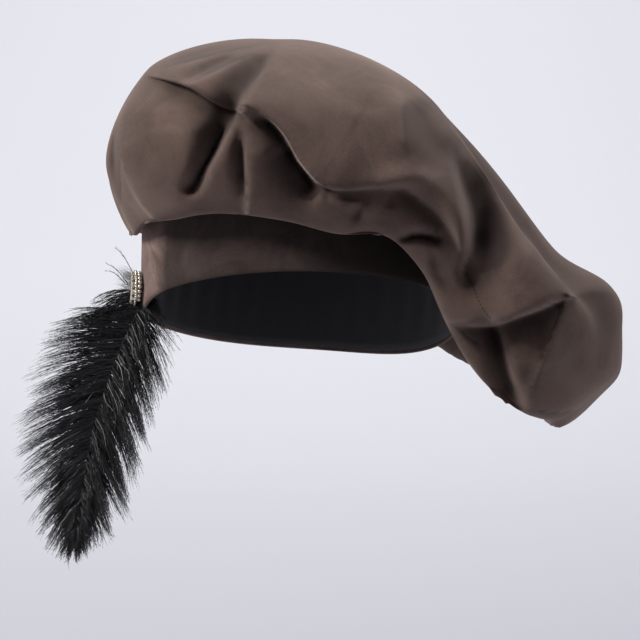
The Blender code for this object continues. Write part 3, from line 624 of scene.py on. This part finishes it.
def folded_bag(angles, shares):
    """The bag with its folds and gathers, as meridians from the seam, and the painted shade at each point."""
    seam, plain = plain_bag(angles, shares)
    points, out = plain.reshape(-1, 3), outward(plain).reshape(-1, 3)
    shift = np.zeros_like(points)
    shade = np.zeros(len(points))
    for view in ("front", "right", "back", "left", "top", "under"):
        place, toward, across, up = look_at(points, view)
        facing = smoothstep((out * toward).sum(1), 0.0, FACING_FULL)
        for fold_view, *fold in CROWN_FOLDS:
            if fold_view == view:
                height, lean, dark = fold_height(place, fold)
                sideways = lean[:, :1] * across + lean[:, 1:] * up
                shift += facing[:, None] * (toward * height[:, None] + sideways)
                shade = np.maximum(shade, facing * dark)
    round_angle = np.repeat(angles, len(shares))
    share = np.tile(shares, len(angles))
    gathered = smoothstep(share, *GATHERS_RISE) * (1 - smoothstep(share, *GATHERS_FADE))
    gathered *= 1 - bump(round_angle, *SMOOTH_FRONT)
    for count, phase, depth in CROWN_GATHERS:
        shift += out * (depth * np.sin(count * round_angle + phase) * gathered)[:, None]
    # the folds run out where the cloth turns under
    folds_full = FOLDS_FULL + FOLDS_FULL_BEHIND * (1 - bump(round_angle, *FRONT_HEM))
    shift *= smoothstep(share, FOLDS_START, folds_full)[:, None] * MM
    # velvet is too thick to crease sharply
    shift = shift.reshape(plain.shape)
    along = np.concatenate([shift[:, :1], shift, shift[:, -1:]], 1)
    beside = np.roll(shift, 1, 0) + np.roll(shift, -1, 0) + along[:, :-2] + along[:, 2:]
    shift = (1 - SOFTENING) * shift + SOFTENING / 4 * beside
    shift[:, -1] = shift[:, -1].mean(0)
    folded = clear_of_band(points + shift.reshape(-1, 3), BAND_CLEARANCE)
    # the seam row, tucked under the hem, gets full painted shade
    shade = np.concatenate([np.ones((len(angles), 1)), shade.reshape(plain.shape[:2])], 1)
    return np.concatenate([seam[:, None], folded.reshape(plain.shape)], 1), shade


# the meridians stand closer together in front, and the rows closer half way up
turn = np.arange(CROWN_MERIDIANS) / CROWN_MERIDIANS * 2 * math.pi
angles = turn + MERIDIAN_CROWDING * np.sin(turn - MERIDIANS_APART)
t = np.arange(CROWN_ROWS) / CROWN_ROWS
shares = t + ROW_CROWDING * np.sin(2 * math.pi * t)
grid, shade_grid = folded_bag(angles, np.append(shares, 1.0))
rows = grid.shape[1] - 1
corners = np.concatenate([grid[:, :-1].reshape(-1, 3), grid[0, -1:]])
faces = []
for i in range(CROWN_MERIDIANS):
    here, there = i * rows, (i + 1) % CROWN_MERIDIANS * rows
    for j in range(rows - 1):
        faces.append((here + j, there + j, there + j + 1, here + j + 1))
    faces.append((here + rows - 1, there + rows - 1, CROWN_MERIDIANS * rows))
bag_mesh = bpy.data.meshes.new("velvet_crown")
bag_mesh.from_pydata(corners.tolist(), [], faces)
write_shade(bag_mesh, FOLD_SHADE * np.append(shade_grid[:, :-1].ravel(), 0.0))
crown = bpy.data.objects.new("velvet_crown", bag_mesh)
bpy.context.scene.collection.objects.link(crown)
bpy.context.view_layer.objects.active = crown
crown.select_set(True)
# the wall thins towards the hem, where two layers lie close together on the band
full_wall = crown.vertex_groups.new(name="full wall")
for row, share in enumerate(np.append(0, shares)):
    weight = HEM_WALL + (1 - HEM_WALL) * float(smoothstep(share, *WALL_THICKENS))
    full_wall.add([i * rows + row for i in range(CROWN_MERIDIANS)], weight, "REPLACE")
full_wall.add([CROWN_MERIDIANS * rows], 1.0, "REPLACE")
add_wall(crown, CLOTH_WALL, full_wall)
crown.select_set(False)
crown.data.materials.append(velvet("crown_velvet_cloth", (0.100, 0.066, 0.055), (0.053, 0.034, 0.028),
                                   (0.76, 0.59, 0.51), 22.0))
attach(crown, "root")
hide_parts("crown")


# Gathering stitches: short dark threads in a row down the seam of the hanging end,
# each lying on the velvet with its ends drawn into it.
STITCH_LINE = [(98.5, 23), (101.5, 17), (104.5, 9), (108.5, 1), (113, -4)]
STITCH_COUNT = 13
STITCH_PROUD = 0.15 * MM
THREAD_RADIUS = 0.28 * MM
THREAD_SHARE = 0.33


def join_at(parts, name, place):
    """Parts joined into one piece and moved to their place in the mesh."""
    bpy.ops.object.select_all(action="DESELECT")
    for part in parts:
        part.select_set(True)
    bpy.context.view_layer.objects.active = parts[0]
    bpy.ops.object.join()
    joined = bpy.context.object
    joined.name = name
    bpy.ops.object.transform_apply(location=True, rotation=True, scale=True)
    joined.data.transform(place)
    bpy.ops.object.select_all(action="DESELECT")
    return joined


eye_forward = Vector(EYE_FORWARD)
eye = Vector(EYE_TARGET) - eye_forward * EYE_DISTANCE
stitch_points = []
for across_mm, up_mm in fold_curve(STITCH_LINE, STITCH_COUNT):
    aim = Vector((across_mm * MM - EYE_TARGET[0], 0, 0)) + Vector(EYE_UP) * (up_mm * MM - EYE_TARGET[2])
    place, normal = crown.ray_cast(eye, (aim + eye_forward * EYE_DISTANCE).normalized())[1:3]
    stitch_points.append(place + normal * STITCH_PROUD)
stitches = []
for first_place, next_place in zip(stitch_points, stitch_points[1:]):
    run = next_place - first_place
    bpy.ops.mesh.primitive_uv_sphere_add(segments=8, ring_count=6, radius=1)
    thread = bpy.context.object
    thread.scale = (THREAD_RADIUS, THREAD_RADIUS, run.length * THREAD_SHARE)
    thread.rotation_euler = run.to_track_quat("Z", "Y").to_euler()
    thread.location = (first_place + next_place) / 2
    stitches.append(thread)
seam_row = join_at(stitches, "gathering_stitches", Matrix.Identity(4))
bpy.context.view_layer.objects.active = seam_row
seam_row.data.shade_smooth()
seam_row.data.materials.append(velvet("stitch_thread", (0.030, 0.020, 0.017), (0.012, 0.008, 0.007),
                                      (0.62, 0.47, 0.42), 200.0))
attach(seam_row, "root")


# The brooch: a round silver setting pinned to the left of the band, edge on from the front,
# with cut clear stones in two rings and one in the middle, each held in a small cup.
BROOCH_RADIUS = 11.0 * MM
BROOCH_ANGLE = math.radians(191)
BROOCH_HEIGHT = 12.3 * MM
STEM_RADIUS = 1.3 * MM
PLATE_THICKNESS = 2.2 * MM
PLATE_SETBACK = 0.5 * MM
PLATE_SHARE = 0.7
PLATE_BEVEL = 0.4 * MM
RIM_BEADS = 40
RIM_BEAD_RADIUS = 0.75 * MM
RIM_BEAD_HEIGHT = 0.45
GALLERY_BEADS = 22
GALLERY_BEAD_RADIUS = 1.4 * MM
GALLERY_SETBACK = 1.6 * MM
GALLERY_DEPTH = 1.1 * MM
FEATHER_GAP = 3.2 * MM
CUP_SINK = 0.9 * MM
CLAW_RADIUS = 0.32 * MM
GIRDLE_DEPTH = 0.25 * MM
# shares of a stone's height
CUP_HEIGHT = 0.75
GIRDLE_HEIGHT = 0.78
CLAW_HEIGHT = 0.86
# shares of a girdle's radius
CUP_FOOT_RADIUS = 0.72
CUP_RIM_RADIUS = 1.04
CLAW_DISTANCE = 0.98
STONE_RADIUS = 0.97
FACET_ROWS = [
    # inwards, upwards
    (0.2, 0.16),
    (0.22, 0.13),
]
STONE_RINGS = [
    # count, distance from the middle, girdle radius, height above the plate, turn in steps
    (12, 8.3 * MM, 1.9 * MM, 2.4 * MM, 0),
    (8, 4.6 * MM, 1.35 * MM, 2.4 * MM, 0.5),
    (1, 0.0, 2.4 * MM, 3.2 * MM, 0),
]

at_brooch = np.array([BROOCH_ANGLE])
brooch_place = Vector(ring(at_brooch, BROOCH_HEIGHT)[0])
brooch_out = (Vector(ring(at_brooch, BROOCH_HEIGHT, 1.0)[0]) - brooch_place).normalized()
brooch_up = (Vector(ring(at_brooch, BROOCH_HEIGHT + 1.0)[0]) - brooch_place).normalized()
brooch_across = brooch_up.cross(brooch_out).normalized()
brooch_frame = Matrix((brooch_across, brooch_out.cross(brooch_across), brooch_out)).transposed().to_4x4()
brooch_frame.translation = brooch_place
plate_back = 2 * STEM_RADIUS + 2 * GAP
cup_foot = plate_back + PLATE_THICKNESS - CUP_SINK


def on_circle(x, y, radius, turn_angle):
    return x + radius * math.cos(turn_angle), y + radius * math.sin(turn_angle)


def add_bead(place, height, radius, segments, ring_count):
    """A round bead of the setting, at a place on the plate and a height."""
    bpy.ops.mesh.primitive_uv_sphere_add(segments=segments, ring_count=ring_count, radius=radius,
                                         location=(*place, height))
    setting_parts.append(bpy.context.object)


def cut_stone(x, y, radius, height):
    """The top of a stone: a girdle of sixteen sides and two rows of facets up to its table."""
    bpy.ops.mesh.primitive_cylinder_add(vertices=16, radius=radius * STONE_RADIUS, depth=GIRDLE_DEPTH,
                                        location=(x, y, cup_foot + height * GIRDLE_HEIGHT))
    stone = bpy.context.object
    bpy.ops.object.mode_set(mode="EDIT")
    bpy.ops.mesh.select_all(action="DESELECT")
    shape = bmesh.from_edit_mesh(stone.data)
    for face in shape.faces:
        face.select = face.normal.z > 0.9
    bmesh.update_edit_mesh(stone.data)
    for inwards, upwards in FACET_ROWS:
        bpy.ops.mesh.inset(thickness=radius * inwards, depth=radius * upwards)
    bpy.ops.object.mode_set(mode="OBJECT")
    return stone


bpy.ops.mesh.primitive_cylinder_add(vertices=64, radius=BROOCH_RADIUS - PLATE_SETBACK,
                                    depth=PLATE_THICKNESS * PLATE_SHARE,
                                    location=(0, 0, plate_back + PLATE_THICKNESS * PLATE_SHARE / 2))
plate = bpy.context.object
plate.name = "brooch_setting"
edges = plate.modifiers.new("edges", "BEVEL")
edges.width = PLATE_BEVEL
edges.segments = 3
bpy.ops.object.modifier_apply(modifier=edges.name)
setting_parts = [plate]
# beads round the rim
for i in range(RIM_BEADS):
    spot = on_circle(0, 0, BROOCH_RADIUS - RIM_BEAD_RADIUS, 2 * math.pi * i / RIM_BEADS)
    add_bead(spot, plate_back + PLATE_THICKNESS * RIM_BEAD_HEIGHT, RIM_BEAD_RADIUS, 10, 6)
# a gallery of larger beads stands between the setting and the band, open where the feather passes
for i in range(GALLERY_BEADS):
    spot = on_circle(0, 0, BROOCH_RADIUS - GALLERY_SETBACK, 2 * math.pi * (i + 0.5) / GALLERY_BEADS)
    if abs(spot[0]) > FEATHER_GAP:
        add_bead(spot, plate_back - GALLERY_DEPTH, GALLERY_BEAD_RADIUS, 12, 8)
stone_parts = []
for count, distance, radius, height, offset in STONE_RINGS:
    for i in range(count):
        turn_angle = 2 * math.pi * (i + offset) / count
        x, y = on_circle(0, 0, distance, turn_angle)
        # the cup flares towards the stone, and four claws hold its girdle
        bpy.ops.mesh.primitive_cone_add(vertices=20, radius1=radius * CUP_FOOT_RADIUS,
                                        radius2=radius * CUP_RIM_RADIUS, depth=height * CUP_HEIGHT,
                                        location=(x, y, cup_foot + height * CUP_HEIGHT / 2))
        setting_parts.append(bpy.context.object)
        for k in range(4):
            spot = on_circle(x, y, radius * CLAW_DISTANCE, turn_angle + math.pi / 4 + math.pi / 2 * k)
            add_bead(spot, cup_foot + height * CLAW_HEIGHT, CLAW_RADIUS, 8, 6)
        stone_parts.append(cut_stone(x, y, radius, height))

setting = join_at(setting_parts, "brooch_setting", brooch_frame)
setting.data.shade_smooth()
setting.data.set_sharp_from_angle(angle=math.radians(40))
setting.data.materials.append(grained("champagne_silver", 420.0, (0.50, 0.46, 0.39), (0.82, 0.78, 0.70),
                                      {"Metallic": 1.0, "Roughness": 0.28}))
stones = join_at(stone_parts, "brooch_stones", brooch_frame)
crystal, tree, shader, place = start_material("foiled_crystal")
# painted highlights: the stones' colour is broken into small light and dark cells that stand in for flashes
# off their facets
flashes = tree.nodes.new("ShaderNodeTexVoronoi")
flashes.inputs["Scale"].default_value = 900.0
tree.links.new(place, flashes.inputs["Vector"])
flash_tone = mix_colours(tree, flashes.outputs["Distance"], (0.55, 0.51, 0.42), (0.95, 0.92, 0.84))
tree.links.new(flash_tone, shader.inputs["Base Color"])
set_inputs(shader, {"Metallic": 0.35, "Roughness": 0.06, "Coat Weight": 1.0})
stones.data.materials.append(crystal)
for piece in (setting, stones):
    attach(piece, "root")
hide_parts("brooch")

# the pin behind it is drawn steel wire
steel, tree, shader, place = start_material("pin_steel")
drawn = add_noise(tree, place, {"Scale": 700.0})
tree.links.new(add_relief(tree, drawn, 0.1, 0.0001), shader.inputs["Normal"])
set_inputs(shader, {"Base Color": (0.5, 0.5, 0.5, 1), "Metallic": 1.0, "Roughness": 0.4})
for material_place in bpy.data.objects["brooch_pin"].material_slots:
    material_place.material = steel


# The plume: a black feather tucked behind the brooch. Long barbs leave both sides of its rib,
# sweep down and cling together in pointed locks, and each carries short fuzz.
STEM_TOP = (9, 1.5, -6, -13)
PLUME_RIB = [
    # x, y, z in mm
    (-100.5, -21.5, -6), (-106, -24, -18), (-113, -27, -36), (-118.6, -29, -53), (-124, -30, -71),
    (-127, -30, -89), (-129.6, -30, -106), (-132, -29, -122), (-134, -28, -136),
]
PLUME_SHAPE = [
    # share, left length, left angle, right length, right angle
    (0.00, 36, 86, 14, 66),
    (0.12, 50, 77, 45, 60),
    (0.30, 56, 66, 52, 54),
    (0.55, 51, 58, 50, 48),
    (0.80, 37, 44, 34, 38),
    (1.00, 13, 12, 12, 10),
]
BARB_LAYERS = [
    # locks a side, barbs a lock, share of the full length, width in mm, lift to the front, its spread, fuzz
    (90, 7, 0.74, 0.95, 0.0, 0.10, 0),
    (58, 18, 1.05, 0.42, 0.0, 0.24, 19),
    (64, 4, 0.45, 0.45, 0.35, 0.08, 8),
]
FIRST_BARB = 0.012
LAST_BARB = 0.985
LOCK_SPREAD = 0.95
BARB_STEPS = 9
BARB_DROOP = 0.2
LOCK_REACH = 5.5 * MM
LOCK_CLING = 0.12
LAYER_LIFT = 4 * MM
RIB_STEPS = 96
RIB_ROOT = 0.62
RIB_TAPER = 0.45
FUZZ_HALF_WIDTH = 0.1 * MM
WISPS = [
    # x, z in mm at its root, at its tip
    (-100.5, 24, -110, 38.5),
    (-103, 17, -115, 29),
    (-105, 17.5, -115.5, 25),
]
WISP_STEPS = 8
WISP_WIDTH = 0.5 * MM
WISP_ARCH = np.array([0.0, 0.0, 2.0]) * MM
WISP_ACROSS = np.array([0.6, 0.0, 0.8])
WISP_ROOT_Y = -18.0
WISP_TIP_Y = -21.0
WISP_FUZZ = 30
WISP_FUZZ_HALF_WIDTH = np.array([0.06, 0.0, 0.06]) * MM
DOWN_THREADS = 260
DOWN_STEPS = 5
DOWN_WIDTH = 0.11 * MM
random = np.random.default_rng(21)
front = np.array([0.0, -1.0, 0.0])
strand_points = []
strand_faces = []


def unit(vector):
    return vector / np.linalg.norm(vector)


def read_along(points, share):
    """The place at a share of a row of points, and the number of the point before it."""
    low = min(int(share * (len(points) - 1)), len(points) - 2)
    part = share * (len(points) - 1) - low
    return points[low] * (1 - part) + points[low + 1] * part, low


def flat_across(aim, turn):
    """A direction across a strand that lies roughly flat to the front."""
    return unit(np.cross(aim, front + turn * random.normal(0, 1, 3)))


def add_ribbon(path, across, width, taper=0.15):
    """A thin flat strand along a path."""
    first = len(strand_points)
    count = len(path)
    for k in range(count):
        half = 0.5 * width * (1 - (1 - taper) * (k / (count - 1)) ** 1.5)
        strand_points.extend([path[k] - across * half, path[k] + across * half])
    for a in range(first, first + 2 * count - 2, 2):
        strand_faces.append((a, a + 1, a + 3, a + 2))


def add_bristle(base, half_width, tip):
    """A short strand that is a single point at its tip."""
    first = len(strand_points)
    strand_points.extend([base - half_width, base + half_width, tip])
    strand_faces.append((first, first + 1, first + 2))


def strands_object(name):
    """An object of all the strands made since the last one."""
    mesh = bpy.data.meshes.new(name)
    mesh.from_pydata(np.array(strand_points).tolist(), [], strand_faces)
    strand_points.clear()
    strand_faces.clear()
    made = bpy.data.objects.new(name, mesh)
    bpy.context.scene.collection.objects.link(made)
    return made


def barb_path(side, share, spread, length, angle, lift, raised):
    """A barb's way out from the rib: it starts apart, clings to its lock, droops and parts at the tip."""
    root, low = read_along(rib, share)
    down = unit(read_along(rib_step, share)[0])
    sideways = unit(np.cross(down, front) * -side)
    aim = unit(math.cos(angle) * down + math.sin(angle) * sideways + lift * front)
    own = spread * LOCK_REACH * down + random.normal(0, 0.6, 3) * MM
    sway = random.normal(0, 0.7) * MM
    t = np.linspace(0, 1, BARB_STEPS)[:, None]
    path = root + raised * LAYER_LIFT * front + length * (aim * t + BARB_DROOP * (down - aim) * t**2)
    path = path + own * LOCK_CLING * np.sin(math.pi * t) + random.normal(0, 0.9, 3) * MM * t**3
    return path + np.cross(aim, front) * sway * np.sin(2.2 * math.pi * t), aim


def add_fuzz(path):
    """A bristle somewhere on a barb, shorter towards its tip."""
    share = random.uniform(0.05, 0.97)
    base, low = read_along(path, share)
    run = unit(path[low + 1] - path[low])
    aim = unit(run * random.uniform(0.7, 1.3) + random.normal(0, 0.36, 3))
    tip = base + aim * random.uniform(2.5, 6.0) * MM * (1 - 0.7 * share)
    add_bristle(base, flat_across(aim, 0.5) * FUZZ_HALF_WIDTH, tip)


stem_top = [np.array(brooch_frame @ Vector((0, y * MM, STEM_RADIUS + GAP))) for y in STEM_TOP]
rib = np.concatenate([np.array(stem_top), np.array(PLUME_RIB, float) * MM])
rib = np.concatenate([rib, [2 * rib[-1] - rib[-2]]])
rib = smooth_curves(rib[None], np.linspace(0, 1, RIB_STEPS + 1))[0]
rib_step = np.gradient(rib, axis=0)
rib_step /= np.linalg.norm(rib_step, axis=1, keepdims=True)
plume_table = np.array(PLUME_SHAPE).T

for side, column in ((-1, 1), (1, 3)):
    for locks, barbs_a_lock, reach, width, raised, depth, fuzz_count in BARB_LAYERS:
        for lock in range(locks):
            lock_share = (lock + 0.5 + random.uniform(-0.3, 0.3)) / locks
            full, angle = (np.interp(lock_share, plume_table[0], plume_table[column + k]) for k in (0, 1))
            lock_length = reach * full * MM * random.uniform(0.9, 1.08)
            lock_angle = math.radians(angle + random.uniform(-6, 6))
            lock_lift = raised + random.uniform(-depth, depth)
            for barb in range(barbs_a_lock):
                spread = random.uniform(-1, 1)
                share = np.clip(lock_share + spread * LOCK_SPREAD / locks, 0, 1)
                share = FIRST_BARB + (LAST_BARB - FIRST_BARB) * share
                length = lock_length * random.uniform(0.8, 1.05)
                lift = lock_lift + random.uniform(-0.1, 0.1)
                path, aim = barb_path(side, share, spread, length, lock_angle, lift, raised)
                add_ribbon(path, flat_across(aim, 0.6), width * MM)
                for fuzz in range(fuzz_count):
                    add_fuzz(path)

# three loose wisps stand up beside the brooch
for root_x, root_z, tip_x, tip_z in WISPS:
    root = np.array([root_x, WISP_ROOT_Y, root_z]) * MM
    tip = np.array([tip_x, WISP_TIP_Y, tip_z]) * MM
    t = np.linspace(0, 1, WISP_STEPS)[:, None]
    path = root + (tip - root) * t + WISP_ARCH * np.sin(math.pi * t)
    add_ribbon(path, WISP_ACROSS, WISP_WIDTH)
    for fuzz in range(WISP_FUZZ):
        low = 1 + fuzz % (WISP_STEPS - 2)
        base = path[low] + (path[low + 1] - path[low]) * random.uniform(0, 1)
        add_bristle(base, WISP_FUZZ_HALF_WIDTH, base + (tip - root) * 0.12 + random.normal(0, 0.8, 3) * MM)
barbs = strands_object("plume_barbs")

# grey down at the feather's top, above and left of the brooch
for thread in range(DOWN_THREADS):
    root = np.array([random.uniform(-103, -98), random.uniform(-24, -12), random.uniform(13, 24)]) * MM
    aim = unit(np.array([-1.0, random.normal(0, 0.35), random.uniform(-0.1, 1.0)]))
    t = np.linspace(0, 1, DOWN_STEPS)[:, None]
    path = root + aim * random.uniform(3, 10) * MM * t + random.normal(0, 1.2, 3) * MM * np.sin(math.pi * t)
    add_ribbon(path, np.cross(aim, front), DOWN_WIDTH)
down = strands_object("plume_down")

stem_data = bpy.data.curves.new("plume_rib", "CURVE")
stem_data.dimensions = "3D"
stem_data.bevel_depth = STEM_RADIUS
stem_data.bevel_resolution = 4
stem_data.use_fill_caps = True
spline = stem_data.splines.new("POLY")
stops = rib[::2]
spline.points.add(len(stops) - 1)
for k, (point, place) in enumerate(zip(spline.points, stops)):
    point.co = (*place, 1.0)
    point.radius = RIB_ROOT - RIB_TAPER * k / (len(stops) - 1)
stem_object = bpy.data.objects.new("plume_rib", stem_data)
bpy.context.scene.collection.objects.link(stem_object)
bpy.context.view_layer.objects.active = stem_object
stem_object.select_set(True)
bpy.ops.object.convert(target="MESH")
stem = bpy.context.object
bpy.ops.object.shade_smooth()
bpy.ops.object.select_all(action="DESELECT")

for piece, name, dark, light, roughness in (
        (barbs, "black_barbs", (0.003, 0.003, 0.004), (0.010, 0.011, 0.013), 0.42),
        (stem, "black_rib", (0.004, 0.004, 0.005), (0.012, 0.012, 0.014), 0.5),
        (down, "grey_down", (0.07, 0.07, 0.075), (0.16, 0.16, 0.17), 0.7)):
    piece.data.materials.append(grained(name, 160.0, dark, light, {"Roughness": roughness}, detail=3.0))
for piece in (barbs, down, stem):
    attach(piece, "root")
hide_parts("plume")


# The setting: a plain pale floor that curves up far behind, soft studio light from the left and
# front, and the camera a little above the hat's middle.
FLOOR_HEIGHT = -0.33
FLOOR_WIDTH = 9.0
FLOOR_FRONT = -4.5
WALL_AT = 2.8
WALL_TOP = 4.5
WALL_CURVE = 1.2
CURVE_STEPS = 16
VIEW_WIDTH = 0.384
SENSOR_WIDTH = 36.0
LIGHTS = [
    # name, place, what it is aimed at, size, power, colour
    ("key", (-1.3, -0.9, 1.1), (0, 0, 0.05), 0.6, 36, (1.0, 0.97, 0.94)),
    ("fill", (1.7, -1.0, 0.9), (0, 0, 0.0), 1.2, 12, (0.96, 0.97, 1.0)),
    ("backdrop", (0.0, 0.9, 2.6), (0, 2.6, 0.3), 2.2, 73, (0.98, 0.98, 1.0)),
]

profile = [(FLOOR_FRONT, FLOOR_HEIGHT)]
for k in range(CURVE_STEPS + 1):
    a = math.pi / 2 * k / CURVE_STEPS
    profile.append((WALL_AT - WALL_CURVE * (1 - math.sin(a)), FLOOR_HEIGHT + WALL_CURVE * (1 - math.cos(a))))
profile.append((WALL_AT, WALL_TOP))
floor_points = [(x, y, z) for y, z in profile for x in (-FLOOR_WIDTH / 2, FLOOR_WIDTH / 2)]
floor_faces = [(2 * k, 2 * k + 1, 2 * k + 3, 2 * k + 2) for k in range(len(profile) - 1)]
floor_mesh = bpy.data.meshes.new("floor")
floor_mesh.from_pydata(floor_points, [], floor_faces)
floor_mesh.shade_smooth()
floor = bpy.data.objects.new("floor", floor_mesh)
bpy.context.scene.collection.objects.link(floor)
# painted shade: the paper's colour darkens towards the front, where the lamps light it brightly, and is
# lighter further back
paper, tree, shader, place = start_material("pale_paper")
apart = tree.nodes.new("ShaderNodeSeparateXYZ")
tree.links.new(place, apart.inputs["Vector"])
distance = add_range(tree, apart.outputs["Y"], 0.4, 2.4)
paper_tone = mix_colours(tree, distance, (0.42, 0.42, 0.46), (0.66, 0.665, 0.695))
tree.links.new(paper_tone, shader.inputs["Base Color"])
shader.inputs["Roughness"].default_value = 0.95
floor.data.materials.append(paper)

camera_data = bpy.data.cameras.new("camera")
camera_data.sensor_width = SENSOR_WIDTH
camera_data.lens = SENSOR_WIDTH * EYE_DISTANCE / VIEW_WIDTH
camera = bpy.data.objects.new("camera", camera_data)
camera.location = eye
camera.rotation_euler = eye_forward.to_track_quat("-Z", "Y").to_euler()
bpy.context.scene.collection.objects.link(camera)
bpy.context.scene.camera = camera

for name, place, aim, size, power, colour in LIGHTS:
    data = bpy.data.lights.new(name, "AREA")
    data.shape = "SQUARE"
    data.size = size
    data.energy = power
    data.color = colour
    light = bpy.data.objects.new(name, data)
    light.location = place
    light.rotation_euler = (Vector(aim) - Vector(place)).to_track_quat("-Z", "Y").to_euler()
    bpy.context.scene.collection.objects.link(light)
world = bpy.data.worlds.new("studio")
world.use_nodes = True
set_inputs(world.node_tree.nodes["Background"], {"Color": (0.86, 0.87, 0.92, 1), "Strength": 0.3})
bpy.context.scene.world = world
bpy.context.scene.view_settings.view_transform = "Standard"
